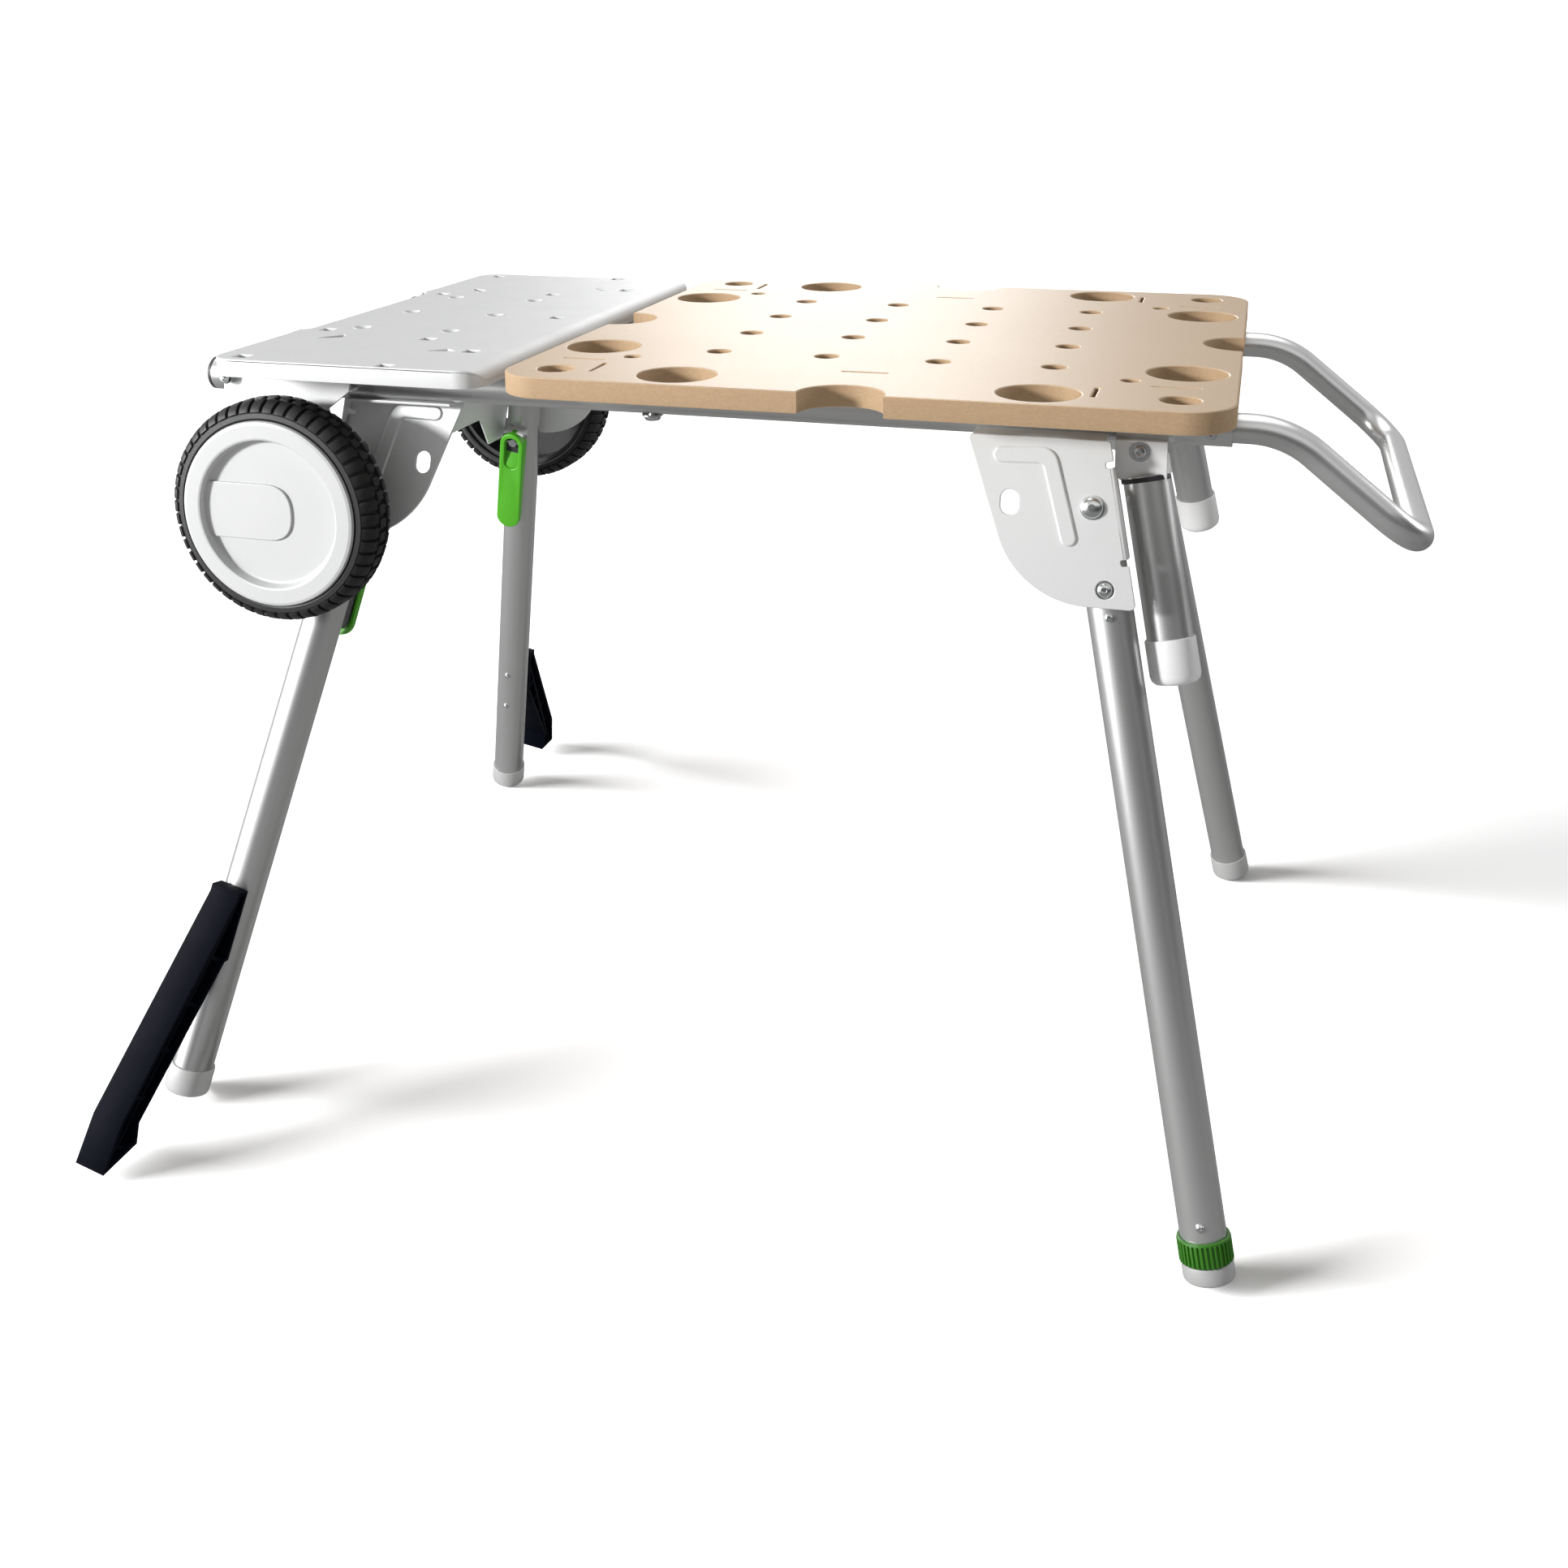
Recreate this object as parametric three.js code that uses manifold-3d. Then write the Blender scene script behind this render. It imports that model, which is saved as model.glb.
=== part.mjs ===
// Folding saw stand: a perforated worktop board and a moulded platform on two round rails,
// four splayed folding legs in pressed brackets, two wheels and a U-shaped pulling handle.
// Lengths are in millimetres, X runs from the wheels to the handle, Y away, Z up from the floor.
import * as THREE from "three";
import Module from "manifold-3d";
import { mergeVertices } from "three/addons/utils/BufferGeometryUtils.js";

const wasm = await Module();
wasm.setup();

// Heights and clearances
const top_height = 676;
const fit_gap = 0.3;
const running_gap = 0.4;
const sheet_thickness = 2.5;
const small_edge = 1;
const tube_wall = 2;

// Worktop board
const board_width = 582;
const board_thickness = 17.7;
const board_corner_radius = 40;
const board_edge_round = 2;
const dog_hole_diameter = 20;
const dog_hole_pitch = 96;
const clamp_hole_diameter = 64;
const clamp_hole_inner = 145;
const clamp_hole_outer = 250;
const corner_hole_diameter = 30;
const board_screw_hole_diameter = 14;
const board_screw_hole_x = 208;
const board_screw_hole_y = 185;
const edge_notch_radius = 34;

// Platform
const platform_gap = 21;
const platform_length = 250;
const platform_width = 544;
const platform_drop = 2;
const platform_corner_radius = 22;
const platform_bevel_width = 17;
const platform_bevel_height = 11;
const platform_wall = 3.2;
const platform_recess_depth = 6;
const platform_recess_length = 230;
const square_hole_width = 13;
const countersink_diameter = 18;
const countersink_depth = 3;
const platform_screw_hole_diameter = 9;
const boss_wall = 3;

// Rails, handle and cross members
const rail_diameter = 30;
const rail_half_spacing = 187;
const rail_right_end = 288;
const rail_left_end = 620;
const rail_cap_length = 5;
const rail_plug_length = 16;
const handle_diameter = 24;
const handle_wall = 1.8;
const handle_plug_length = 48;
const handle_straight_end = 316;
const handle_drop = 85;
const handle_reach = 431;
const handle_corner_radius = 38;
const cross_tube_x = 150;
const cross_tube_diameter = 25;
const cross_member_width = 60;
const cross_member_depth = 24;
const cross_member_drop = 1.6;

// Legs: pivot points under the rails and foot points on the floor
const leg_diameter = 36;
const right_pivot_x = 187;
const pivot_outset = 29;
const right_pivot_drop = 95;
const right_foot_x = 307;
const right_foot_spread = 120;
const leg_lane_spacing = 48;
const left_pivot_x = 472;
const left_pivot_drop = 104;
const left_foot_x = 602;
const left_foot_spread = 176;

// Bracket plates
const plate_reach = 100;
const plate_radius = 77;
const plate_shoulder_share = 0.38;
const flange_depth = 17;
const flange_top = 28;
const flange_bottom = 43;
const relief_width = 5;
const bracket_rib_width = 13;
const bracket_rib_height = 2;
const bracket_rib_shares = [[-0.72, 0.48], [-0.35, 0.49], [-0.17, -0.325]];
const left_flange_inset = 10;
const pivot_bolt_diameter = 10;
const pivot_head_diameter = 17;
const pivot_head_height = 5;
const latch_radius_from_pivot = 64;
const latch_tip_diameter = 12;
const latch_rod_diameter = 9;
const latch_window = 14.4;
const oval_hole_length = 20;
const oval_hole_width = 14;

// Left cross plate
const cross_plate_lower_drop = 138;
const cross_plate_ear_drop = 174;
const cross_plate_ear_width = 70;
const cross_plate_end_gap = 1;
const cross_plate_lip = 16;
const cross_plate_gap = 1.7;
const cross_plate_thickness = 2;

// Latch lever
const lever_width = 27;
const lever_length = 124;
const lever_top_from_pivot = 51;
const lever_hinge_from_pivot = 55.5;
const lever_stand_off = 17;
const lever_wall = 2.5;
const lever_flare = 3;
const lever_pin_diameter = 4;
const lever_hinge_height = 8;
const lever_back_gap = 3;
const lever_top_edge = 2;
const lever_waist_share = 0.5;
const lever_cavity_share = 0.78;
const lever_flare_share = 0.85;
const lever_notch_width = 13;
const lever_notch_depth = 18;
const lever_cross_pin_depth = 3;
const lever_slot_length = 8.8;
const lever_slot_depth = 5.7;
const lever_slot_offset = 1.8;
const lever_mount_edge = 3.5;

// Feet
const foot_diameter = 40;
const foot_cap_height = 24;
const foot_sole = 4;
const cap_edge = 2.5;
const level_ring_diameter = 43;
const level_ring_height = 19;
const level_pad_height = 14;
const level_stem_diameter = 20;
const level_stem_length = 50;
const level_knurl_depth = 1.2;
const level_knurl_count = 24;

// Side fins on the left legs
const fin_thickness = 29;
const fin_wall = 3.6;
const fin_web = 5;
const fin_rib = 3;
const fin_rib_count = 6;
const fin_rib_turn = 0.8;
const fin_rib_lean = 0.38;
const fin_rib_drift = 0.42;
const fin_length = 229;
const fin_reach = 101;
const fin_start = 409;

// Wheels and axle
const axle_x = 512;
const axle_drop = 136;
const axle_diameter = 12;
const wheel_outset = 67.5;
const tyre_width = 44;
const tyre_radius = 101;
const tyre_side_inset = 4;
const tyre_shoulder = 12;
const tyre_lug_width = 7;
const tyre_lug_inset = 1;
const tyre_lug_height = 3.5;
const tyre_lug_count = 36;
const hub_radius = 83;
const hub_width = 40;
const dish_radius = 70;
const dish_depth = 9;
const hub_bore_radius = 15;
const hub_web = 4;
const hub_back_web = 2;
const hub_wall = 5;
const hub_rim_edge = 4;
const dish_slope = 6;
const hub_tab_inset = 3;
const hub_tab_height = 50;
const hub_tab_reach = 20;
const gusset_outset = 26.5;
const gusset_left_end = 598;
const gusset_right_end = 462;
const gusset_boss_radius = 24;
const gusset_rise = 3;
const gusset_end_height = 12;
const gusset_slope_height = 24;

// Stub feet for the folded stand
const stub_x = 218;
const stub_top_drop = 58;
const stub_bottom_drop = 237;
const stub_cap_height = 36;
const holder_width = 42;
const holder_top_drop = 43;
const holder_bottom_drop = 75;
const holder_offset = 2;
const holder_round = 14;
const holder_round_lift = 4;
const holder_collar_height = 17;
const holder_bore_length = 80;

// Board bolts under the rails
const board_bolt_right_x = 209;
const board_bolt_left_x = 190;
const board_bolt_diameter = 8;
const board_bolt_head_diameter = 14;
const board_bolt_head_height = 5.5;
const board_bolt_washer_width = 2;
const board_bolt_washer_height = 1.5;

// Facet counts
const fine_facets = 20;
const medium_facets = 18;
const small_facets = 10;
const tiny_facets = 8;

// Derived places
const board_half = board_width / 2;
const rail_radius = rail_diameter / 2;
const rail_drop = board_thickness + fit_gap + rail_radius;
const rail_bottom = rail_drop + rail_radius;
const leg_radius = leg_diameter / 2;
const plate_inner = leg_radius + 2 * running_gap;
const plate_outer = plate_inner + sheet_thickness;
const right_pivot_y = rail_half_spacing + pivot_outset;
const right_foot_y = right_pivot_y + right_foot_spread;
const left_pivot_y = right_pivot_y - leg_lane_spacing;
const left_foot_y = left_pivot_y + left_foot_spread;
const cross_plate_half_width = rail_half_spacing - cross_plate_end_gap;
const rail_outer_y = rail_half_spacing + rail_radius;
const gusset_y = rail_half_spacing + gusset_outset;
const wheel_face_y = gusset_y + wheel_outset;

const paints = {
  board: { color: 0xb98e63, roughness: 0.75, metalness: 0 },
  platform: { color: 0xc9cccb, roughness: 0.55, metalness: 0.1 },
  tube: { color: 0xb9bcbd, roughness: 0.38, metalness: 0.85 },
  plate: { color: 0xa7abad, roughness: 0.4, metalness: 0.85 },
  bright: { color: 0xc4c8cb, roughness: 0.3, metalness: 0.9 },
  cap: { color: 0xc9cbca, roughness: 0.6, metalness: 0 },
  black: { color: 0x191b26, roughness: 0.55, metalness: 0 },
  green: { color: 0x3f8f32, roughness: 0.5, metalness: 0 },
  rubber: { color: 0x1b1b1c, roughness: 0.9, metalness: 0 },
  hub: { color: 0xc6c8c8, roughness: 0.55, metalness: 0 },
};

// Closed triangle mesh to solid and back
function toSolid(geometry) {
  const plain = geometry.clone();
  plain.deleteAttribute("normal");
  plain.deleteAttribute("uv");
  const merged = mergeVertices(plain);
  const index = merged.index.array;
  const corners = [];
  for (let i = 0; i < index.length; i += 3) {
    const a = index[i];
    const b = index[i + 1];
    const c = index[i + 2];
    if (a !== b && b !== c && c !== a) corners.push(a, b, c);
  }
  const vertProperties = Float32Array.from(merged.getAttribute("position").array);
  const triVerts = Uint32Array.from(corners);
  return new wasm.Manifold(new wasm.Mesh({ numProp: 3, vertProperties, triVerts }));
}

function toGeometry(solid) {
  const mesh = solid.getMesh();
  const geometry = new THREE.BufferGeometry();
  const positions = Float32Array.from(mesh.vertProperties);
  geometry.setAttribute("position", new THREE.BufferAttribute(positions, 3));
  geometry.setIndex(new THREE.BufferAttribute(Uint32Array.from(mesh.triVerts), 1));
  geometry.computeVertexNormals();
  return geometry;
}

function join(...pieces) {
  let solid = toSolid(pieces[0]);
  for (const piece of pieces.slice(1)) solid = solid.add(toSolid(piece));
  return toGeometry(solid);
}

function cut(base, ...tools) {
  let solid = toSolid(base);
  for (const tool of tools) solid = solid.subtract(toSolid(tool));
  return toGeometry(solid);
}

function common(first, second) {
  return toGeometry(toSolid(first).intersect(toSolid(second)));
}

// Outlines, prisms, rods and turned pieces
function outline(points) {
  return new THREE.Shape(points.map(([x, y]) => new THREE.Vector2(x, y)));
}

function arcPoints(cx, cy, radius, start, end, count) {
  const points = [];
  for (let i = 0; i <= count; i += 1) {
    const angle = start + ((end - start) * i) / count;
    points.push([cx + radius * Math.cos(angle), cy + radius * Math.sin(angle)]);
  }
  return points;
}

function roundedBox(left, right, low, high, radius, count) {
  const quarter = Math.PI / 2;
  return [
    ...arcPoints(right - radius, high - radius, radius, 0, quarter, count),
    ...arcPoints(left + radius, high - radius, radius, quarter, 2 * quarter, count),
    ...arcPoints(left + radius, low + radius, radius, 2 * quarter, 3 * quarter, count),
    ...arcPoints(right - radius, low + radius, radius, 3 * quarter, 4 * quarter, count),
  ];
}

function prism(points, from, to) {
  const geometry = new THREE.ExtrudeGeometry(outline(points), { depth: to - from, bevelEnabled: false });
  return geometry.translate(0, 0, from);
}

function softPrism(points, from, to, round) {
  const geometry = new THREE.ExtrudeGeometry(outline(points), {
    depth: to - from - 2 * round,
    bevelEnabled: true,
    bevelThickness: round,
    bevelSize: round,
    bevelOffset: -round,
    bevelSegments: 1,
  });
  return geometry.translate(0, 0, from + round);
}

function box(x0, x1, y0, y1, z0, z1) {
  const geometry = new THREE.BoxGeometry(x1 - x0, y1 - y0, z1 - z0);
  return geometry.translate((x0 + x1) / 2, (y0 + y1) / 2, (z0 + z1) / 2);
}

function rod(axis, radius, from, to, facets) {
  const geometry = new THREE.CylinderGeometry(radius, radius, to - from, facets);
  geometry.translate(0, (from + to) / 2, 0);
  if (axis === "x") geometry.rotateZ(-Math.PI / 2);
  if (axis === "z") geometry.rotateX(Math.PI / 2);
  return geometry;
}

// Profile of [radius, position] pairs turned about the named axis
function turned(axis, profile, facets) {
  const points = profile.map(([radius, at]) => new THREE.Vector2(radius, at));
  const area = profile.reduce((sum, [r0, a0], i) => {
    const [r1, a1] = profile[(i + 1) % profile.length];
    return sum + r0 * a1 - r1 * a0;
  }, 0);
  if (area < 0) points.reverse();
  const closes = profile[0][0] > 0;
  if (closes) points.push(points[0].clone());
  const geometry = new THREE.LatheGeometry(points, facets);
  if (axis === "x") geometry.rotateZ(-Math.PI / 2);
  if (axis === "z") geometry.rotateX(Math.PI / 2);
  return geometry;
}

function mirrored(geometry) {
  const copy = geometry.clone();
  copy.scale(1, -1, 1);
  const count = copy.getAttribute("position").count;
  const index = copy.index ? Array.from(copy.index.array) : [...Array(count).keys()];
  for (let i = 0; i < index.length; i += 3) {
    const second = index[i + 1];
    index[i + 1] = index[i + 2];
    index[i + 2] = second;
  }
  copy.setIndex(index);
  copy.computeVertexNormals();
  return copy;
}

// Frame of a leaning leg plane: X along the stand, Y up the slope, Z outward
function planeFrame(pivotX, pivotY, pivotDrop, tilt) {
  const along = new THREE.Vector3(1, 0, 0);
  const up = new THREE.Vector3(0, Math.sin(tilt), Math.cos(tilt));
  const out = new THREE.Vector3(0, -Math.cos(tilt), Math.sin(tilt));
  const frame = new THREE.Matrix4().makeBasis(along, up, out);
  return frame.setPosition(pivotX, -pivotY, -pivotDrop);
}

function legPose(pivotX, pivotY, pivotDrop, footX, footY) {
  const fall = top_height - pivotDrop;
  const tilt = Math.atan2(footY - pivotY, fall);
  const spread = footX - pivotX;
  const slope = Math.hypot(footY - pivotY, fall);
  const lean = Math.atan2(spread, slope);
  const plane = planeFrame(pivotX, pivotY, pivotDrop, tilt);
  const leg = plane.clone().multiply(new THREE.Matrix4().makeRotationZ(lean));
  const steepness = Math.acos(Math.cos(tilt) * Math.cos(lean));
  const sole = Math.hypot(spread, slope) - (foot_diameter / 2) * Math.tan(steepness);
  return { tilt, lean, plane, leg, length: sole };
}

// Side profile [out, along] extruded across the leg
const sideways = new THREE.Matrix4().makeBasis(
  new THREE.Vector3(0, 0, 1),
  new THREE.Vector3(0, 1, 0),
  new THREE.Vector3(-1, 0, 0),
);

const rightPose = legPose(right_pivot_x, right_pivot_y, right_pivot_drop, right_foot_x, right_foot_y);
const leftPose = legPose(-left_pivot_x, left_pivot_y, left_pivot_drop, -left_foot_x, left_foot_y);

const group = new THREE.Group();
group.name = "saw_stand";

function add(name, geometry, paint) {
  const material = new THREE.MeshStandardMaterial(paints[paint]);
  const mesh = new THREE.Mesh(geometry.clone().translate(0, 0, top_height), material);
  mesh.name = name;
  group.add(mesh);
}

function addPair(stem, geometry, paint) {
  add(`${stem}_front`, geometry, paint);
  add(`${stem}_back`, mirrored(geometry), paint);
}

// Worktop board with its grid of dog holes, large clamp holes and edge notches
function makeBoard() {
  const plan = roundedBox(-board_half, board_half, -board_half, board_half, board_corner_radius, 4);
  const blank = softPrism(plan, -board_thickness, 0, board_edge_round);
  const low = -2 * board_thickness;
  const high = board_thickness;
  const tools = [];
  const hole = (diameter, x, y, facets) => {
    tools.push(rod("z", diameter / 2, low, high, facets).translate(x, y, 0));
  };
  const grid_shares = [-1.5, -0.5, 0.5, 1.5];
  for (const column of grid_shares) {
    for (const row of grid_shares) {
      hole(dog_hole_diameter, column * dog_hole_pitch, row * dog_hole_pitch, small_facets);
    }
  }
  for (const side of [-1, 1]) {
    for (const end of [-1, 1]) {
      hole(clamp_hole_diameter, side * clamp_hole_inner, end * clamp_hole_outer, medium_facets);
      hole(clamp_hole_diameter, side * clamp_hole_outer, end * clamp_hole_inner, medium_facets);
      hole(corner_hole_diameter, side * clamp_hole_outer, end * clamp_hole_outer, small_facets);
      hole(board_screw_hole_diameter, side * board_screw_hole_x, end * board_screw_hole_y, tiny_facets);
    }
    hole(2 * edge_notch_radius, side * board_half, 0, medium_facets);
    hole(2 * edge_notch_radius, 0, side * board_half, medium_facets);
    for (const x of [board_bolt_right_x, -board_bolt_left_x]) {
      const depth = -board_thickness / 2 + fit_gap;
      const bolt = rod("z", board_bolt_diameter / 2 + fit_gap, low, depth, small_facets);
      tools.push(bolt.translate(x, side * rail_half_spacing, 0));
    }
  }
  return cut(blank, ...tools);
}
add("worktop_board", makeBoard(), "board");

// Moulded platform: flat top, long bevel towards the board, ribbed underside
function makePlatform() {
  const right = -board_half - platform_gap;
  const left = right - platform_length;
  const half = platform_width / 2;
  const top = -platform_drop;
  const bottom = -board_thickness;
  const bevel_shares = [[0, 0], [0.45, 0.1], [0.8, 0.45], [1, 1]];
  const section = [
    [left, bottom],
    [right, bottom],
    ...bevel_shares
      .map(([across, down]) => [
        right - platform_bevel_width * (1 - across),
        top - platform_bevel_height * down,
      ])
      .reverse(),
    [left + board_edge_round, top],
    [left, top - board_edge_round],
  ];
  const slab = prism(section, -half, half).rotateX(Math.PI / 2);
  const radius = platform_corner_radius;
  const recess = platform_recess_length / 2;
  const depth = platform_recess_depth;
  const plan = [
    ...arcPoints(right - radius, half - radius, radius, 0, Math.PI / 2, 4),
    ...arcPoints(left + radius, half - radius, radius, Math.PI / 2, Math.PI, 4),
    [left, recess + depth],
    [left + depth, recess],
    [left + depth, -recess],
    [left, -recess - depth],
    ...arcPoints(left + radius, radius - half, radius, Math.PI, 1.5 * Math.PI, 4),
    ...arcPoints(right - radius, radius - half, radius, 1.5 * Math.PI, 2 * Math.PI, 4),
  ];
  const blank = common(slab, prism(plan, 2 * bottom, board_thickness));
  const spots = [];
  const square_shares = [
    [0.083, 0.469], [0.083, 0.213], [0.552, 0.257], [0.652, 0.487], [0.816, 0.342],
  ];
  for (const [along, across] of square_shares) {
    for (const side of [-1, 1]) {
      spots.push(["square", left + along * platform_length, side * across * platform_width]);
    }
  }
  const last_along = square_shares[square_shares.length - 1][0];
  spots.push(["square", left + last_along * platform_length, 0]);
  const round_shares = [[0.188, 0.178], [0.552, 0.175]];
  for (const [along, across] of round_shares) {
    for (const side of [-1, 0, 1]) {
      spots.push(["round", left + along * platform_length, side * across * platform_width]);
    }
  }
  const columns = 3;
  const rows = 4;
  const ceiling = top - platform_wall;
  const inner_left = left + depth + platform_wall;
  const inner_right = right - platform_bevel_width + platform_wall;
  const inner_half = half - 2 * platform_wall;
  const cell_x = (inner_right - inner_left) / columns;
  const cell_y = (2 * inner_half) / rows;
  let hollow = null;
  for (let i = 0; i < columns; i += 1) {
    for (let j = 0; j < rows; j += 1) {
      const x0 = inner_left + i * cell_x;
      const y0 = j * cell_y - inner_half;
      const edge = platform_wall / 2;
      const cell = box(x0 + edge, x0 + cell_x - edge, y0 + edge, y0 + cell_y - edge, 2 * bottom, ceiling);
      hollow = hollow ? hollow.add(toSolid(cell)) : toSolid(cell);
    }
  }
  const high = board_thickness;
  const holes = [];
  for (const [form, x, y] of spots) {
    if (form === "square") {
      const reach = square_hole_width / 2;
      const outer = reach + boss_wall;
      hollow = hollow.subtract(toSolid(box(x - outer, x + outer, y - outer, y + outer, 3 * bottom, high)));
      holes.push(box(x - reach, x + reach, y - reach, y + reach, 2 * bottom, high));
    } else {
      const reach = platform_screw_hole_diameter / 2;
      const sink = countersink_diameter / 2;
      const boss = rod("z", sink, 3 * bottom, high, small_facets).translate(x, y, 0);
      hollow = hollow.subtract(toSolid(boss));
      holes.push(rod("z", reach, 2 * bottom, high, small_facets).translate(x, y, 0));
      const cone = new THREE.CylinderGeometry(sink, reach, countersink_depth, small_facets);
      holes.push(cone.rotateX(Math.PI / 2).translate(x, y, top - countersink_depth / 2 + fit_gap / 10));
    }
  }
  let solid = toSolid(blank).subtract(hollow);
  for (const hole of holes) solid = solid.subtract(toSolid(hole));
  return toGeometry(solid);
}
add("platform_plate", makePlatform(), "platform");

// Two round rails with bolt holes, closed on the left by round plugs
function makeRail() {
  const tube = rod("x", rail_radius, -rail_left_end, rail_right_end, medium_facets);
  const bore = rod("x", rail_radius - tube_wall, -2 * rail_left_end, 2 * rail_right_end, medium_facets);
  const tools = [bore];
  for (const x of [board_bolt_right_x, -board_bolt_left_x]) {
    const radius = board_bolt_diameter / 2 + fit_gap;
    tools.push(rod("z", radius, -2 * rail_radius, 2 * rail_radius, small_facets).translate(x, 0, 0));
  }
  return cut(tube, ...tools).translate(0, -rail_half_spacing, -rail_drop);
}
addPair("rail", makeRail(), "tube");

function makeRailCap() {
  const face = -rail_left_end - fit_gap;
  const bore = rail_radius - tube_wall - running_gap;
  const profile = [
    [0, face - rail_cap_length],
    [rail_radius * 0.7, face - rail_cap_length],
    [rail_radius, face - rail_cap_length / 2],
    [rail_radius, face],
    [bore, face],
    [bore, face + rail_plug_length],
    [0, face + rail_plug_length],
  ];
  return turned("x", profile, medium_facets).translate(0, -rail_half_spacing, -rail_drop);
}
addPair("rail_cap", makeRailCap(), "black");

// Handle: one bent tube plugged into both rails
class StepPath extends THREE.Curve {
  constructor(stations) {
    super();
    this.stations = stations;
  }
  getPointAt(share) {
    return this.stations[Math.round(share * (this.stations.length - 1))].clone();
  }
  getTangentAt(share) {
    const last = this.stations.length - 1;
    const at = Math.round(share * last);
    const before = this.stations[Math.max(at - 1, 0)];
    const after = this.stations[Math.min(at + 1, last)];
    return after.clone().sub(before).normalize();
  }
}

// Stations of a bent tube: straight runs joined by arcs of the given radii
function bentRun(corners, radii, steps) {
  const stations = [corners[0].clone()];
  for (let i = 1; i < corners.length - 1; i += 1) {
    const back = corners[i - 1].clone().sub(corners[i]).normalize();
    const ahead = corners[i + 1].clone().sub(corners[i]).normalize();
    const half = back.angleTo(ahead) / 2;
    const radius = radii[i - 1];
    const centreLine = back.clone().add(ahead).normalize();
    const centre = corners[i].clone().add(centreLine.multiplyScalar(radius / Math.sin(half)));
    const start = corners[i].clone().add(back.multiplyScalar(radius / Math.tan(half))).sub(centre);
    const end = corners[i].clone().add(ahead.multiplyScalar(radius / Math.tan(half))).sub(centre);
    const sweep = start.angleTo(end);
    for (let step = 0; step <= steps; step += 1) {
      const share = step / steps;
      const first = Math.sin((1 - share) * sweep) / Math.sin(sweep);
      const second = Math.sin(share * sweep) / Math.sin(sweep);
      const point = start.clone().multiplyScalar(first).add(end.clone().multiplyScalar(second));
      stations.push(point.add(centre));
    }
  }
  stations.push(corners[corners.length - 1].clone());
  return stations;
}

function makeHandle() {
  const lane = rail_half_spacing;
  const start = rail_right_end - handle_plug_length;
  const end = handle_reach;
  const bar = -rail_drop - handle_drop;
  const corners = [
    [start, -lane, -rail_drop],
    [handle_straight_end + handle_diameter / 2, -lane, -rail_drop],
    [end, -lane, bar],
    [end, lane, bar],
    [handle_straight_end + handle_diameter / 2, lane, -rail_drop],
    [start, lane, -rail_drop],
  ].map(([x, y, z]) => new THREE.Vector3(x, y, z));
  const bend = 2 * handle_corner_radius;
  const stations = bentRun(corners, [bend, handle_corner_radius, handle_corner_radius, bend], 5);
  const sweep = (radius, facets, path) => {
    const shape = outline(arcPoints(0, 0, radius, 0, 2 * Math.PI, facets).slice(1));
    return new THREE.ExtrudeGeometry(shape, { steps: path.length - 1, extrudePath: new StepPath(path) });
  };
  const inner = stations.map((point) => point.clone());
  const spare = new THREE.Vector3(tube_wall, 0, 0);
  inner[0].sub(spare);
  inner[inner.length - 1].sub(spare);
  const outer = sweep(handle_diameter / 2, small_facets, stations);
  const bore = sweep(handle_diameter / 2 - handle_wall, 6, inner);
  return cut(outer, bore);
}
add("handle_tube", makeHandle(), "tube");

// Cross members between the rails
function makeCrossMember() {
  const centre = -board_half - platform_gap / 2;
  const half = cross_member_width / 2;
  const high = -board_thickness - cross_member_drop;
  const low = high - cross_member_depth;
  const wall = sheet_thickness;
  const section = [
    [centre - half, low],
    [centre - half + wall, low],
    [centre - half + wall, high - wall],
    [centre + half - wall, high - wall],
    [centre + half - wall, low],
    [centre + half, low],
    [centre + half, high],
    [centre - half, high],
  ];
  const reach = rail_half_spacing;
  const channel = prism(section, -reach, reach).rotateX(Math.PI / 2);
  const saddle = rod("x", rail_radius + fit_gap, -2 * left_foot_x, 0, medium_facets);
  const beyond = box(-2 * left_foot_x, 0, 0, 2 * rail_radius, -2 * rail_bottom, 2 * rail_bottom);
  const far = join(saddle, beyond).translate(0, rail_half_spacing, -rail_drop);
  return cut(channel, far, mirrored(far));
}
add("cross_member_middle", makeCrossMember(), "plate");

function makeCrossTube() {
  const reach = rail_half_spacing - rail_radius - fit_gap;
  const radius = cross_tube_diameter / 2;
  const tube = rod("y", radius, -reach, reach, small_facets);
  const bore = rod("y", radius - tube_wall, -2 * reach, 2 * reach, tiny_facets);
  return cut(tube, bore).translate(cross_tube_x, 0, -rail_drop);
}
add("cross_tube_right", makeCrossTube(), "tube");

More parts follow.
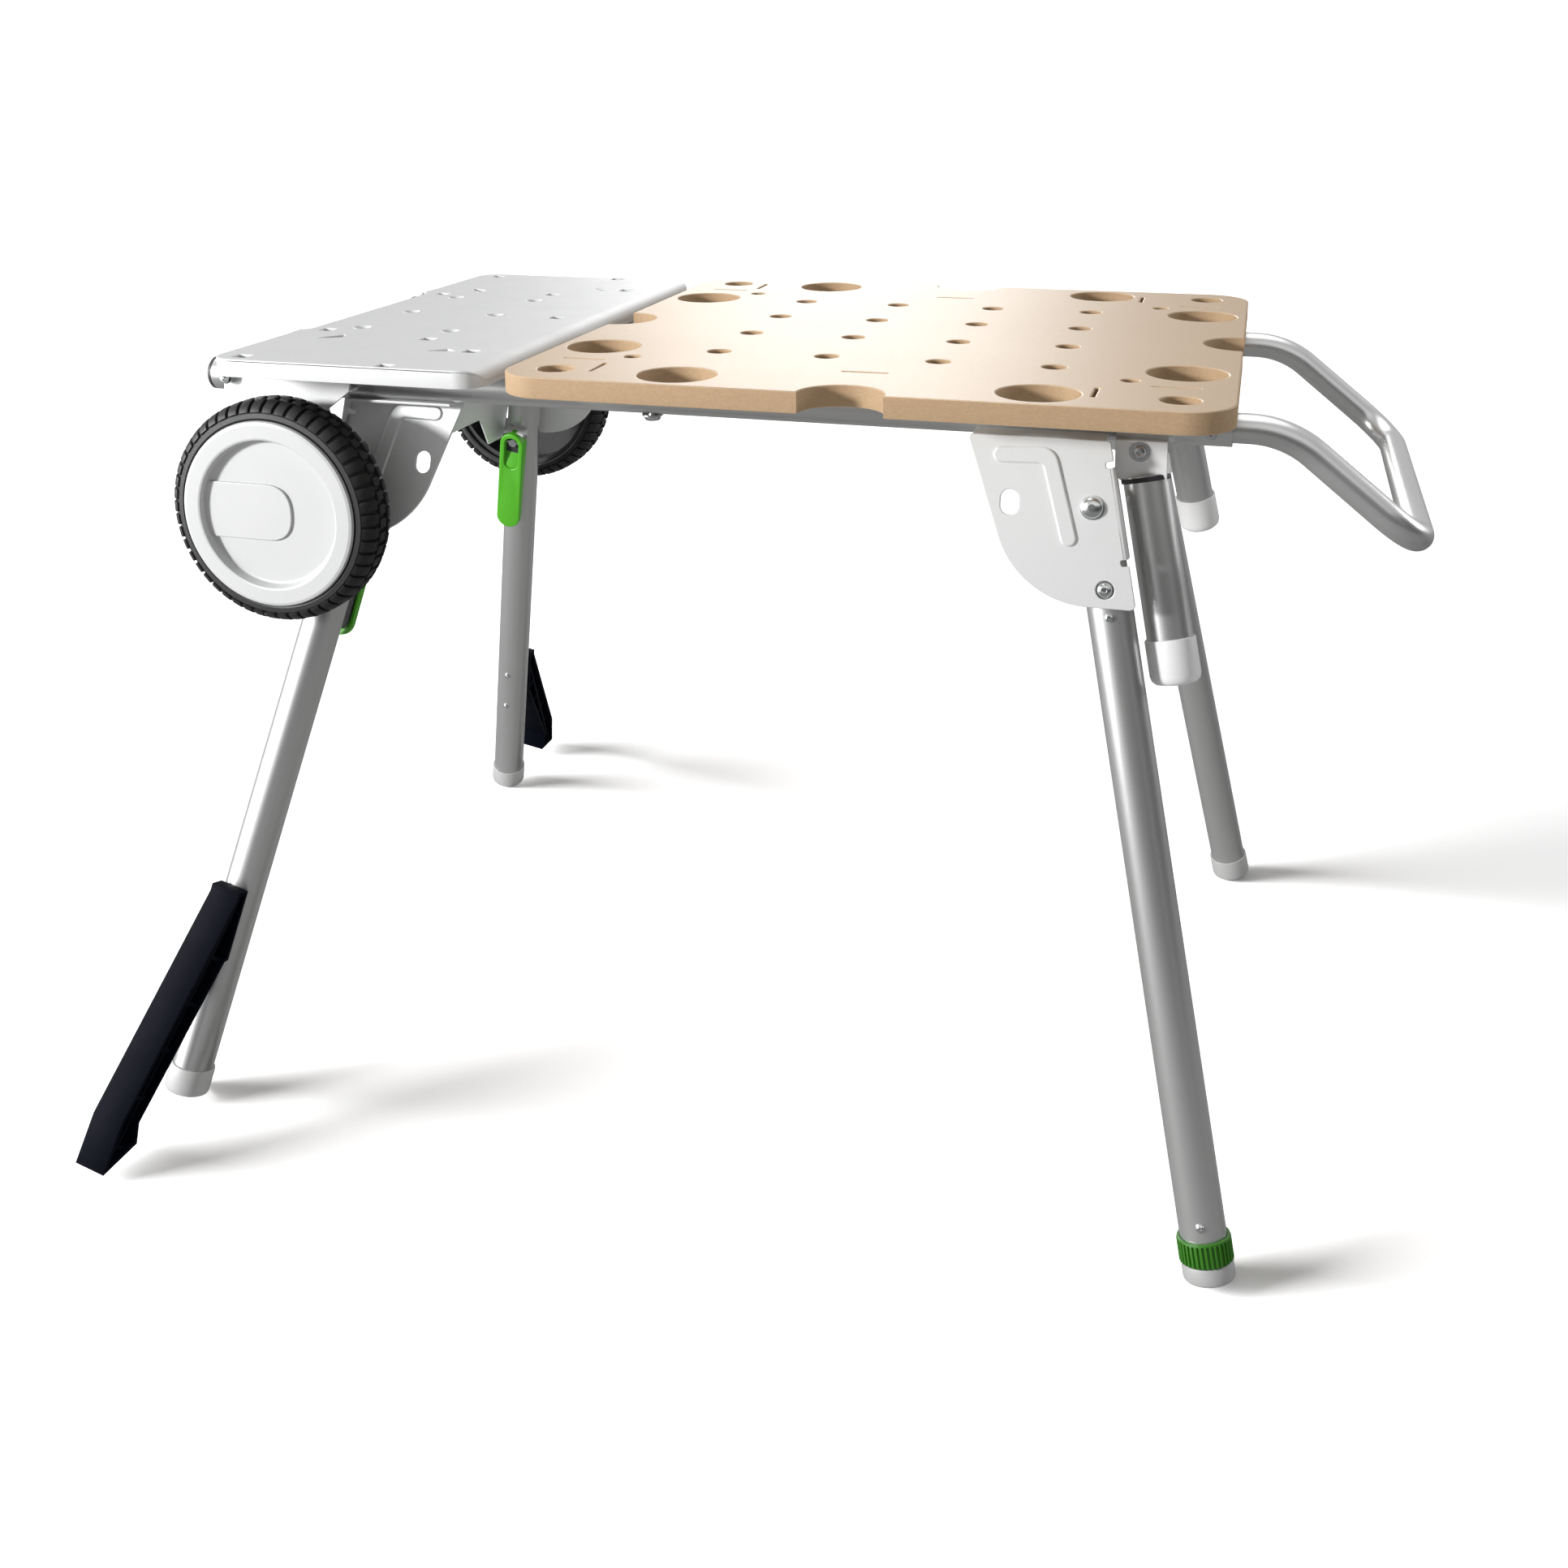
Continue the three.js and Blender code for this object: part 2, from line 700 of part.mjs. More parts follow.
// Pressed bracket: face plate, bent-in flange beside the leg and a top flange to the rail
function makeBracket(pose, turn, fold, topDrop, flangeInner) {
  const lean = Math.abs(pose.lean);
  const edge = plate_outer;
  const top = (turn.drop - topDrop) / Math.cos(pose.tilt) - plate_outer * Math.tan(pose.tilt);
  const edgeAt = (height) => {
    const along = (edge * Math.sin(lean) - height) / Math.cos(lean);
    return edge * Math.cos(lean) + along * Math.sin(lean);
  };
  const shoulder = plate_radius * plate_shoulder_share;
  const start = Math.PI + Math.asin(plate_shoulder_share);
  const half = [
    [-plate_reach, top],
    [-Math.sqrt(plate_radius ** 2 - shoulder ** 2), -shoulder],
    ...arcPoints(0, 0, plate_radius, start, 1.5 * Math.PI, 6).slice(1),
    [edgeAt(-plate_radius), -plate_radius],
    [edgeAt(top), top],
  ];
  const sided = (points) => (fold < 0 ? points : points.map(([x, y]) => [-x, y]).reverse());
  const plate = prism(sided(half), plate_inner, plate_outer);
  const legTurn = new THREE.Matrix4().makeRotationZ(pose.lean);
  const side = -fold;
  const flangeSpan = [side * (edge - sheet_thickness), side * edge].sort((a, b) => a - b);
  const flange = box(...flangeSpan, -flange_bottom, flange_top, plate_outer - flange_depth, plate_outer);
  flange.applyMatrix4(legTurn);
  const rib = bracket_rib_shares.map(([x, y]) => [x * plate_reach, y * plate_radius]);
  const ribWidth = bracket_rib_width / 2;
  const bar = (from, to) => {
    const length = Math.hypot(to[0] - from[0], to[1] - from[1]);
    const angle = Math.atan2(to[1] - from[1], to[0] - from[0]);
    const points = roundedBox(-ribWidth, length + ribWidth, -ribWidth, ribWidth, ribWidth * 0.9, 2);
    const piece = prism(points, plate_outer - sheet_thickness / 2, plate_outer + bracket_rib_height);
    piece.rotateZ(angle);
    piece.translate(from[0], from[1], 0);
    return fold < 0 ? piece : flipX(piece);
  };
  const body = join(plate, flange, bar(rib[0], rib[1]), bar(rib[1], rib[2]));
  const far = 2 * plate_outer;
  const bolt = rod("z", pivot_bolt_diameter / 2 + running_gap, 0, far, small_facets);
  const window = rod("z", latch_window / 2, 0, far, small_facets);
  window.translate(0, -latch_radius_from_pivot, 0);
  window.applyMatrix4(legTurn);
  const ovalHalf = (oval_hole_length - oval_hole_width) / 2;
  const ovalRadius = oval_hole_width / 2;
  const ovalEnd = ovalHalf + ovalRadius;
  const ovalCorner = ovalRadius * 0.98;
  const ovalPoints = roundedBox(-ovalRadius, ovalRadius, -ovalEnd, ovalEnd, ovalCorner, 3);
  const oval = prism(ovalPoints, 0, far);
  oval.translate(fold * latch_radius_from_pivot, 0, 0);
  if (turn.ovalTurn) oval.applyMatrix4(new THREE.Matrix4().makeRotationZ(-fold * turn.ovalTurn));
  const reliefs = [flange_top, -flange_bottom - relief_width].map((low) => {
    const near = side * (edge - 2 * sheet_thickness);
    const beyond = side * (edge + sheet_thickness);
    const span = [near, beyond].sort((a, b) => a - b);
    return box(...span, low, low + relief_width, plate_inner - running_gap, far).applyMatrix4(legTurn);
  });
  const finished = cut(body, bolt, window, oval, ...reliefs).applyMatrix4(pose.plane);
  const outerAtTop = turn.y + plate_outer * Math.cos(pose.tilt) - top * Math.sin(pose.tilt);
  const inset = 2 * sheet_thickness;
  const left = turn.x + Math.min(fold * plate_reach, -fold * edgeAt(top)) + inset;
  const right = turn.x + Math.max(fold * plate_reach, -fold * edgeAt(top)) - inset;
  const span = [-outerAtTop + sheet_thickness * 0.4, -flangeInner].sort((a, b) => a - b);
  const cover = box(left, right, ...span, -topDrop - sheet_thickness, -topDrop);
  return join(finished, cover);
}

function flipX(geometry) {
  const copy = geometry.clone();
  copy.rotateZ(Math.PI);
  return mirrored(copy);
}

const rightTurn = { x: right_pivot_x, y: right_pivot_y, drop: right_pivot_drop, ovalTurn: 0 };
const leftTurn = { x: -left_pivot_x, y: left_pivot_y, drop: left_pivot_drop, ovalTurn: 0.105 };
const right_flange_drop = 40;
const left_flange_drop = rail_bottom + fit_gap;

// How far out the rail's side lies at a depth below the worktop
function railSide(drop) {
  return rail_half_spacing + Math.sqrt(Math.max(rail_radius ** 2 - (drop - rail_drop) ** 2, 0));
}
const rightFlangeInner = railSide(right_flange_drop) + fit_gap;
const leftFlangeInner = rail_half_spacing + left_flange_inset;
const rightBracket = makeBracket(rightPose, rightTurn, -1, right_flange_drop, rightFlangeInner);
const leftBracket = makeBracket(leftPose, leftTurn, 1, left_flange_drop, leftFlangeInner);
addPair("bracket_right", rightBracket, "plate");
addPair("bracket_left", leftBracket, "plate");

// Pivot bolts: dome head outside the plate, nut on the inner side of the leg
function makePivotBolt(pose) {
  const head = pivot_head_diameter / 2;
  const shank = pivot_bolt_diameter / 2;
  const outer = plate_outer + fit_gap;
  const inner = -leg_radius - running_gap;
  const profile = [
    [0, inner - pivot_head_height],
    [head * 0.9, inner - pivot_head_height],
    [head * 0.9, inner],
    [shank, inner],
    [shank, outer],
    [head, outer],
    [head * 0.6, outer + pivot_head_height],
    [0, outer + pivot_head_height],
  ];
  return turned("z", profile, small_facets).applyMatrix4(pose.plane);
}
addPair("pivot_bolt_right", makePivotBolt(rightPose), "bright");
addPair("pivot_bolt_left", makePivotBolt(leftPose), "bright");

// Left cross plate behind the legs, its lower edge cut away between two ears
function makeCrossPlate() {
  const fall = top_height - left_pivot_drop;
  const lean = Math.atan2(left_foot_x - left_pivot_x, fall);
  const inner = plate_outer + cross_plate_gap;
  const outer = inner + cross_plate_thickness;
  const level = -rail_bottom - fit_gap;
  const rise = (z) => (z + left_pivot_drop - outer * Math.sin(lean)) / Math.cos(lean);
  const half = cross_plate_half_width;
  const ear = half - cross_plate_ear_width;
  const shoulder = half - cross_plate_ear_width / 2;
  const points = [
    [half, rise(level)],
    [-half, rise(level)],
    [-half, rise(-cross_plate_ear_drop)],
    [-shoulder, rise(-cross_plate_ear_drop)],
    [-ear, rise(-cross_plate_lower_drop)],
    [ear, rise(-cross_plate_lower_drop)],
    [shoulder, rise(-cross_plate_ear_drop)],
    [half, rise(-cross_plate_ear_drop)],
  ];
  const across = new THREE.Vector3(0, 1, 0);
  const up = new THREE.Vector3(Math.sin(lean), 0, Math.cos(lean));
  const frame = new THREE.Matrix4().makeBasis(across, up, across.clone().cross(up));
  frame.setPosition(-left_pivot_x, 0, -left_pivot_drop);
  const sheet = prism(points, -outer, -inner).applyMatrix4(frame);
  const fold = -left_pivot_x - inner / Math.cos(lean) + (left_pivot_drop + level) * Math.tan(lean);
  const lip = box(fold - cross_plate_lip, fold - fit_gap, -half, half, level - sheet_thickness, level);
  return join(sheet, lip);
}
add("cross_plate_left", makeCrossPlate(), "plate");

// Leg tube: top end rounded about the pivot, cross holes for pivot bolt and latch
function makeLegTube(pose, bottom, throughLatch) {
  const tube = rod("y", leg_radius, -bottom, leg_radius, medium_facets);
  const round = [
    ...arcPoints(0, 0, leg_radius, 0, Math.PI, 8),
    [-leg_radius, -bottom - 2 * leg_radius],
    [leg_radius, -bottom - 2 * leg_radius],
  ];
  const blank = common(tube, prism(round, -2 * leg_radius, 2 * leg_radius));
  const bore = rod("y", leg_radius - tube_wall, -2 * bottom, 2 * leg_radius, small_facets);
  const across = 2 * leg_radius;
  const pivot = rod("z", pivot_bolt_diameter / 2 + running_gap, -across, across, small_facets);
  const tools = [bore, pivot];
  const latch = rod("z", latch_tip_diameter / 2 + running_gap, 0, 2 * leg_radius, small_facets);
  tools.push(latch.translate(0, -latch_radius_from_pivot, 0));
  if (throughLatch) {
    const inner = rod("z", latch_rod_diameter / 2 + running_gap, -2 * leg_radius, 0, small_facets);
    tools.push(inner.translate(0, -latch_radius_from_pivot, 0));
  }
  return cut(blank, ...tools).applyMatrix4(pose.leg);
}
const level_tube_end = rightPose.length - level_pad_height - sheet_thickness - 2 * fit_gap;
add("leg_tube_right_front", makeLegTube(rightPose, level_tube_end, false), "tube");
add("leg_tube_right_back", mirrored(makeLegTube(rightPose, rightPose.length - foot_sole, false)), "tube");
addPair("leg_tube_left", makeLegTube(leftPose, leftPose.length - foot_sole, true), "tube");

// Foot caps pushed over the tube ends, their soles square to the tube
function makeEndCap(pose, height) {
  const radius = foot_diameter / 2;
  const top = height - pose.length;
  const seat = foot_sole - fit_gap - pose.length;
  const profile = [
    [0, -pose.length],
    [radius - cap_edge, -pose.length],
    [radius, cap_edge - pose.length],
    [radius, top - cap_edge / 2],
    [radius - cap_edge / 2, top],
    [leg_radius + fit_gap, top],
    [leg_radius + fit_gap, seat],
    [0, seat],
  ];
  return turned("y", profile, medium_facets).applyMatrix4(pose.leg);
}
add("foot_cap_right_back", mirrored(makeEndCap(rightPose, foot_cap_height)), "cap");
addPair("foot_cap_left", makeEndCap(leftPose, foot_cap_height), "cap");

// Levelling foot: knurled ring that screws the pad in and out
function makeLevelRing() {
  const low = rightPose.length - level_pad_height - fit_gap;
  const high = low - level_ring_height;
  const radius = level_ring_diameter / 2;
  const teeth = level_knurl_count;
  const points = [];
  for (let i = 0; i < 2 * teeth; i += 1) {
    const angle = (i * Math.PI) / teeth;
    const reach = i % 2 ? radius : radius - level_knurl_depth;
    points.push([reach * Math.cos(angle), reach * Math.sin(angle)]);
  }
  const blank = prism(points, high, low).rotateX(Math.PI / 2);
  const socket_low = -low + sheet_thickness;
  const socket_high = -high + small_edge;
  const socket = rod("y", leg_radius + running_gap, socket_low, socket_high, medium_facets);
  const bore = rod("y", level_stem_diameter / 2 + running_gap, -low - small_edge, -high, medium_facets);
  return cut(blank, socket, bore).applyMatrix4(rightPose.leg);
}
add("level_ring", makeLevelRing(), "green");

function makeLevelPad() {
  const high = level_pad_height - rightPose.length;
  const radius = foot_diameter / 2;
  const stem = level_stem_diameter / 2;
  const profile = [
    [0, -rightPose.length],
    [radius - cap_edge, -rightPose.length],
    [radius, cap_edge - rightPose.length],
    [radius, high - cap_edge / 2],
    [radius - cap_edge / 2, high],
    [stem, high],
    [stem, high + level_stem_length],
    [0, high + level_stem_length],
  ];
  return turned("y", profile, medium_facets).applyMatrix4(rightPose.leg);
}
add("level_pad", makeLevelPad(), "cap");

// Latch pins: their tips stand just inside the bracket plates' windows
function makeLatchPin(pose, reach) {
  const tip = latch_tip_diameter / 2;
  const stem = latch_rod_diameter / 2;
  const face = plate_inner - fit_gap;
  const profile = [
    [0, face],
    [tip - small_edge, face],
    [tip, face - small_edge],
    [tip, face - latch_tip_diameter],
    [stem, face - latch_tip_diameter],
    [stem, -reach],
    [0, -reach],
  ];
  const pin = turned("z", profile, small_facets);
  const across = 2 * leg_radius;
  const cross = rod("x", lever_pin_diameter / 2 + fit_gap, -across, across, tiny_facets);
  cross.translate(0, 0, -lever_hinge_height - leg_radius - lever_cross_pin_depth);
  const drilled = reach > leg_radius ? cut(pin, cross) : pin;
  return drilled.translate(0, -latch_radius_from_pivot, 0).applyMatrix4(pose.leg);
}
addPair("latch_pin_right", makeLatchPin(rightPose, leg_radius / 3), "bright");
addPair("latch_pin_left", makeLatchPin(leftPose, leg_radius + lever_stand_off - lever_wall), "bright");

// Latch lever of a left leg: open channel hinged near its top on a small block
const lever_axis_out = -leg_radius - lever_hinge_height;
function makeLever() {
  const top = -lever_top_from_pivot;
  const face = -leg_radius - lever_stand_off;
  const low = top - lever_length;
  const back = -leg_radius - lever_back_gap;
  const waist = top - lever_length * lever_waist_share;
  const cavity_end = top - lever_length * lever_cavity_share;
  const flare_start = top - lever_length * lever_flare_share;
  const side = [
    [back, top - lever_top_edge],
    [back - lever_top_edge, top],
    [face + lever_top_edge, top],
    [face, top - lever_top_edge],
    [face - small_edge, waist],
    [face - lever_flare * 0.6, flare_start],
    [face - lever_flare, low],
    [face - lever_flare + lever_wall, low],
    [face + lever_wall, cavity_end],
    [back - lever_back_gap, waist - lever_wall],
    [back, waist],
  ];
  const half = lever_width / 2;
  const blank = softPrism(side, -half, half, small_edge).applyMatrix4(sideways);
  const inside = half - lever_wall;
  const hollow = [
    [0, 0],
    [face + lever_wall, 0],
    [face + lever_wall, top - lever_wall],
    [face - small_edge + lever_wall, waist],
    [face + lever_wall, cavity_end],
    [0, cavity_end],
  ];
  const cavity = prism(hollow, -inside, inside).applyMatrix4(sideways);
  const notch_end = -latch_radius_from_pivot - lever_notch_width * lever_cavity_share;
  const notch_reach = lever_notch_depth / 2;
  const notch_half = lever_notch_width / 2;
  const notch = box(-notch_half, notch_half, notch_end, 0, face - notch_reach, face + notch_reach);
  const hinge_radius = lever_pin_diameter / 2 + running_gap;
  const hinge = rod("x", hinge_radius, -lever_width, lever_width, tiny_facets);
  hinge.translate(0, -lever_hinge_from_pivot, lever_axis_out);
  const slot_low = -latch_radius_from_pivot - lever_slot_offset - lever_slot_length / 2;
  const slot = box(
    -lever_width, lever_width,
    slot_low, slot_low + lever_slot_length,
    lever_axis_out - lever_slot_depth - fit_gap, lever_axis_out - fit_gap,
  );
  return cut(blank, cavity, notch, hinge, slot).applyMatrix4(leftPose.leg);
}
addPair("latch_lever", makeLever(), "green");

function makeLeverMount() {
  const half = lever_width / 2 - lever_wall - running_gap;
  const low = -latch_radius_from_pivot + latch_rod_diameter / 2 + running_gap;
  const high = -lever_top_from_pivot - fit_gap;
  const outer = lever_axis_out - lever_mount_edge;
  const block = box(-half, half, low, high, outer, -leg_radius / 2);
  const tube = rod("y", leg_radius + fit_gap, low - leg_radius, high + leg_radius, medium_facets);
  const hole_radius = lever_pin_diameter / 2 + fit_gap;
  const hole = rod("x", hole_radius, -lever_width, lever_width, tiny_facets);
  hole.translate(0, -lever_hinge_from_pivot, lever_axis_out);
  return cut(block, tube, hole).applyMatrix4(leftPose.leg);
}
addPair("lever_mount", makeLeverMount(), "plate");

function makeLeverPin(out, along) {
  const reach = lever_width / 2 - fit_gap;
  const pin = rod("x", lever_pin_diameter / 2, -reach, reach, tiny_facets);
  return pin.translate(0, along, out).applyMatrix4(leftPose.leg);
}
const cross_pin_out = lever_axis_out - lever_cross_pin_depth;
addPair("lever_hinge_pin", makeLeverPin(lever_axis_out, -lever_hinge_from_pivot), "bright");
addPair("latch_cross_pin", makeLeverPin(cross_pin_out, -latch_radius_from_pivot), "bright");

// Side fin: rim, centre web and crossing ribs
function insetOutline(points, depth) {
  const count = points.length;
  return points.map((point, i) => {
    const before = points[(i + count - 1) % count];
    const after = points[(i + 1) % count];
    const first = new THREE.Vector2(point[0] - before[0], point[1] - before[1]).normalize();
    const second = new THREE.Vector2(after[0] - point[0], after[1] - point[1]).normalize();
    const inwardA = new THREE.Vector2(-first.y, first.x);
    const inwardB = new THREE.Vector2(-second.y, second.x);
    const middle = inwardA.clone().add(inwardB).normalize();
    const reach = depth / Math.max(middle.dot(inwardA), 0.35);
    return [point[0] + middle.x * reach, point[1] + middle.y * reach];
  });
}

function makeFin() {
  const base = leg_radius + fit_gap;
  const outer_shares = [
    [0, 0], [0, 0.281], [0.05, 0.285], [0.554, 0.727], [0.683, 0.843], [0.624, 0.934], [1, 1],
    [0.95, 0.814], [0.139, 0.029], [0.139, 0],
  ];
  const points = outer_shares.map(([out, along]) => {
    return [base + out * fin_reach, -fin_start - along * fin_length];
  });
  const area = THREE.ShapeUtils.area(points.map(([x, y]) => new THREE.Vector2(x, y)));
  const ccw = area > 0 ? points : points.reverse();
  const half = fin_thickness / 2;
  const whole = toSolid(prism(ccw, -half, half));
  const inner = toSolid(prism(insetOutline(ccw, fin_wall), -2 * half, 2 * half));
  const rim = whole.subtract(inner);
  const wide = top_height;
  const web = whole.intersect(toSolid(box(-wide, wide, -wide, wide, -fin_web / 2, fin_web / 2)));
  let solid = rim.add(web);
  const pitch = fin_length / fin_rib_count;
  for (const lean of [-1, 1]) {
    for (let i = 0; i < fin_rib_count; i += 1) {
      const rib = box(-fin_reach, fin_reach, -fin_rib / 2, fin_rib / 2, -half + fin_rib, half - fin_rib);
      rib.rotateZ(lean * fin_rib_turn - fin_rib_lean);
      const at = (i + 0.5) * pitch;
      rib.translate(base + at * fin_rib_drift, -fin_start - at, 0);
      solid = solid.add(toSolid(rib).intersect(whole));
    }
  }
  return toGeometry(solid).applyMatrix4(sideways).applyMatrix4(leftPose.leg);
}
addPair("side_fin", makeFin(), "black");

// Wheels: ribbed tyre on a dished hub with a raised tab
function makeTyre() {
  const base = tyre_radius - tyre_lug_height;
  const inner = hub_radius + running_gap;
  const outer_side = -wheel_face_y + tyre_side_inset;
  const inner_side = -wheel_face_y + tyre_width;
  const crown_front = outer_side + tyre_shoulder;
  const crown_back = inner_side - tyre_shoulder * 0.7;
  const profile = [
    [inner, outer_side],
    [hub_radius + tyre_side_inset, outer_side],
    [base, crown_front],
    [base, crown_back],
    [base - tyre_shoulder * 0.7, inner_side],
    [inner, inner_side],
  ];
  let solid = toSolid(turned("y", profile, tyre_lug_count));
  const half = tyre_lug_width / 2;
  const crown = [crown_front + tyre_lug_inset, crown_back - tyre_lug_inset];
  const lug = box(-half, half, ...crown, base - tyre_lug_height, tyre_radius);
  for (let i = 0; i < tyre_lug_count; i += 1) {
    const angle = ((i + 0.5) * 2 * Math.PI) / tyre_lug_count;
    solid = solid.add(toSolid(lug.clone().rotateY(angle)));
  }
  return toGeometry(solid).translate(-axle_x, 0, -axle_drop);
}
addPair("tyre", makeTyre(), "rubber");

function makeHub() {
  const face = -wheel_face_y;
  const floor = face + dish_depth;
  const web = floor + hub_web;
  const back_web = web + hub_back_web;
  const inner_end = -gusset_y - sheet_thickness - 2 * running_gap;
  const near = face + hub_width;
  const bore = axle_diameter / 2 + running_gap;
  const profile = [
    [0, floor],
    [dish_radius - dish_slope, floor],
    [dish_radius, face + small_edge],
    [hub_radius - hub_rim_edge, face],
    [hub_radius, face + hub_rim_edge],
    [hub_radius, near],
    [hub_radius - hub_wall, near],
    [hub_radius - hub_wall, back_web],
    [hub_bore_radius, back_web],
    [hub_bore_radius, inner_end],
    [bore, inner_end],
    [bore, web],
    [0, web],
  ];
  const blank = turned("y", profile, fine_facets);
  const tab_half = hub_tab_height / 2;
  const tab_round = hub_tab_height * 0.42;
  const tab = roundedBox(hub_tab_inset - dish_radius, hub_tab_reach, -tab_half, tab_half, tab_round, 3);
  const raised = prism(tab, -floor - small_edge, -face - small_edge).rotateX(Math.PI / 2);
  return join(blank, raised).translate(-axle_x, 0, -axle_drop);
}
addPair("hub", makeHub(), "hub");

// Axle through both gussets, and the gussets under the rails' left ends
function makeAxle() {
  const reach = wheel_face_y - dish_depth - hub_web - running_gap;
  return rod("y", axle_diameter / 2, -reach, reach, small_facets).translate(-axle_x, 0, -axle_drop);
}
add("wheel_axle", makeAxle(), "bright");

function makeGusset() {
  const top = -rail_drop - gusset_rise;
  const points = [
    [-gusset_left_end, top],
    [-gusset_left_end, top - gusset_end_height],
    ...arcPoints(-axle_x, -axle_drop, gusset_boss_radius, Math.PI, 2 * Math.PI, 8),
    [-axle_x + gusset_boss_radius - sheet_thickness, top - gusset_slope_height],
    [-gusset_right_end, top - sheet_thickness],
    [-gusset_right_end, top],
  ];
  const plate = prism(points, gusset_y, gusset_y + sheet_thickness).rotateX(Math.PI / 2);
  const lip = box(
    -gusset_left_end, -gusset_right_end,
    -gusset_y - sheet_thickness / 2, -rail_outer_y - fit_gap,
    top - sheet_thickness, top,
  );
  const bore = rod("y", axle_diameter / 2 + fit_gap, -2 * gusset_y, 0, small_facets);
  return cut(join(plate, lip), bore.translate(-axle_x, 0, -axle_drop));
}
addPair("wheel_gusset", makeGusset(), "plate");

// Stub feet that carry the folded stand, held in collars under the rails
const stubPose = (() => {
  const tan = Math.tan(Math.abs(rightPose.lean)) / Math.cos(rightPose.tilt);
  const fall = stub_bottom_drop - rail_bottom;
  const footX = stub_x + fall * tan;
  const footY = rail_half_spacing + fall * Math.tan(rightPose.tilt);
  const slope = Math.hypot(footY - rail_half_spacing, fall);
  const lean = Math.atan2(footX - stub_x, slope);
  const plane = planeFrame(stub_x, rail_half_spacing, rail_bottom, rightPose.tilt);
  const leg = plane.multiply(new THREE.Matrix4().makeRotationZ(lean));
  const steepness = Math.acos(Math.cos(rightPose.tilt) * Math.cos(lean));
  return { leg, length: Math.hypot(footX - stub_x, slope) - (foot_diameter / 2) * Math.tan(steepness) };
})();
const stub_top = stub_top_drop - rail_bottom;

function makeStubTube() {
  const low = stubPose.length - foot_sole;
  const tube = rod("y", leg_radius, -low, -stub_top, medium_facets);
  const bore = rod("y", leg_radius - tube_wall, -2 * low, 2 * low, small_facets);
  return cut(tube, bore).applyMatrix4(stubPose.leg);
}
addPair("stub_tube", makeStubTube(), "tube");

addPair("stub_cap", makeEndCap(stubPose, stub_cap_height), "cap");

function makeHolder() {
  const middle = stub_x + holder_offset;
  const left = middle - holder_width / 2;
  const right = middle + holder_width / 2;
  const round_centre = holder_round - holder_bottom_drop;
  const shoulder = round_centre - holder_round_lift;
  const outer = rail_outer_y + fit_gap + sheet_thickness;
  const points = [
    [left, -holder_top_drop],
    [left, shoulder],
    ...arcPoints(middle, round_centre, holder_round, 1.15 * Math.PI, 1.85 * Math.PI, 4),
    [right, shoulder],
    [right, -holder_top_drop],
  ];
  const face = prism(points, outer - sheet_thickness, outer).rotateX(Math.PI / 2);
  const lip = box(
    left, right, -outer + sheet_thickness / 2, -railSide(holder_top_drop) - fit_gap,
    -holder_top_drop - sheet_thickness, -holder_top_drop,
  );
  const plate = join(face, lip);
  const collar_top = -stub_top - small_edge;
  const inner = leg_radius + fit_gap;
  const outer_radius = inner + sheet_thickness;
  const collar = rod("y", outer_radius, collar_top - holder_collar_height, collar_top, medium_facets);
  const bore_half = holder_bore_length / 2;
  const bore = rod("y", inner, -stub_top - bore_half, -stub_top + bore_half, medium_facets);
  return cut(join(plate, collar.applyMatrix4(stubPose.leg)), bore.applyMatrix4(stubPose.leg));
}
addPair("stub_holder", makeHolder(), "bright");

// Bolts that hold the board down through the rails
function makeBoardBolt(x) {
  const shank = board_bolt_diameter / 2;
  const head = board_bolt_head_diameter / 2;
  const washer = head + board_bolt_washer_width;
  const low = -rail_bottom - fit_gap;
  const profile = [
    [0, -board_thickness / 2],
    [shank, -board_thickness / 2],
    [shank, low],
    [washer, low],
    [washer, low - board_bolt_washer_height],
    [head, low - board_bolt_washer_height],
    [head * 0.9, low - board_bolt_head_height],
    [0, low - board_bolt_head_height],
  ];
  return turned("z", profile, small_facets).translate(x, -rail_half_spacing, 0);
}
addPair("board_bolt_right", makeBoardBolt(board_bolt_right_x), "bright");
addPair("board_bolt_left", makeBoardBolt(-board_bolt_left_x), "bright");

// Origin at the middle of the footprint, on the floor
const bounds = new THREE.Box3().setFromObject(group);
const centre = bounds.getCenter(new THREE.Vector3());
for (const mesh of group.children) mesh.geometry.translate(-centre.x, -centre.y, -bounds.min.z);

export default group;
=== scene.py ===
import math

import bmesh
import bpy
from mathutils import Matrix, Vector


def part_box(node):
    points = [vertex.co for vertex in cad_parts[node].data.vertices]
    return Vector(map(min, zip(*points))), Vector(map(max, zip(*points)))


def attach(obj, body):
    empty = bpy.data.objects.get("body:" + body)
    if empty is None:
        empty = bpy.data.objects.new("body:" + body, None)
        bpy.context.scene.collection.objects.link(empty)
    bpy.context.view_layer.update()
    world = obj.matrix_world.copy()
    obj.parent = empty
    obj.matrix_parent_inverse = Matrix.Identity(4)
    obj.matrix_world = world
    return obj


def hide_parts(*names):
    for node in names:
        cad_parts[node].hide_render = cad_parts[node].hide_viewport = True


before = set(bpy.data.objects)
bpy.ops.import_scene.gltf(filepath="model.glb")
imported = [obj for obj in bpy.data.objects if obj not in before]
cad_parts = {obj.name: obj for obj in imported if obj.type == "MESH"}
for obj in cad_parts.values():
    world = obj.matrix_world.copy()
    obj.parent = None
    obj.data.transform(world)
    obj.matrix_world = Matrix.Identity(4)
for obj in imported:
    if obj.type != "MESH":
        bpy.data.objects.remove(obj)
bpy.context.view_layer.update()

# Worktop board: one routed panel of pale wood, 582 mm square and 17.7 mm thick, bolted down on both
# rails. Its upper face's middle is the datum, and lengths below are millimetres from there.
board_low, board_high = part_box("worktop_board")
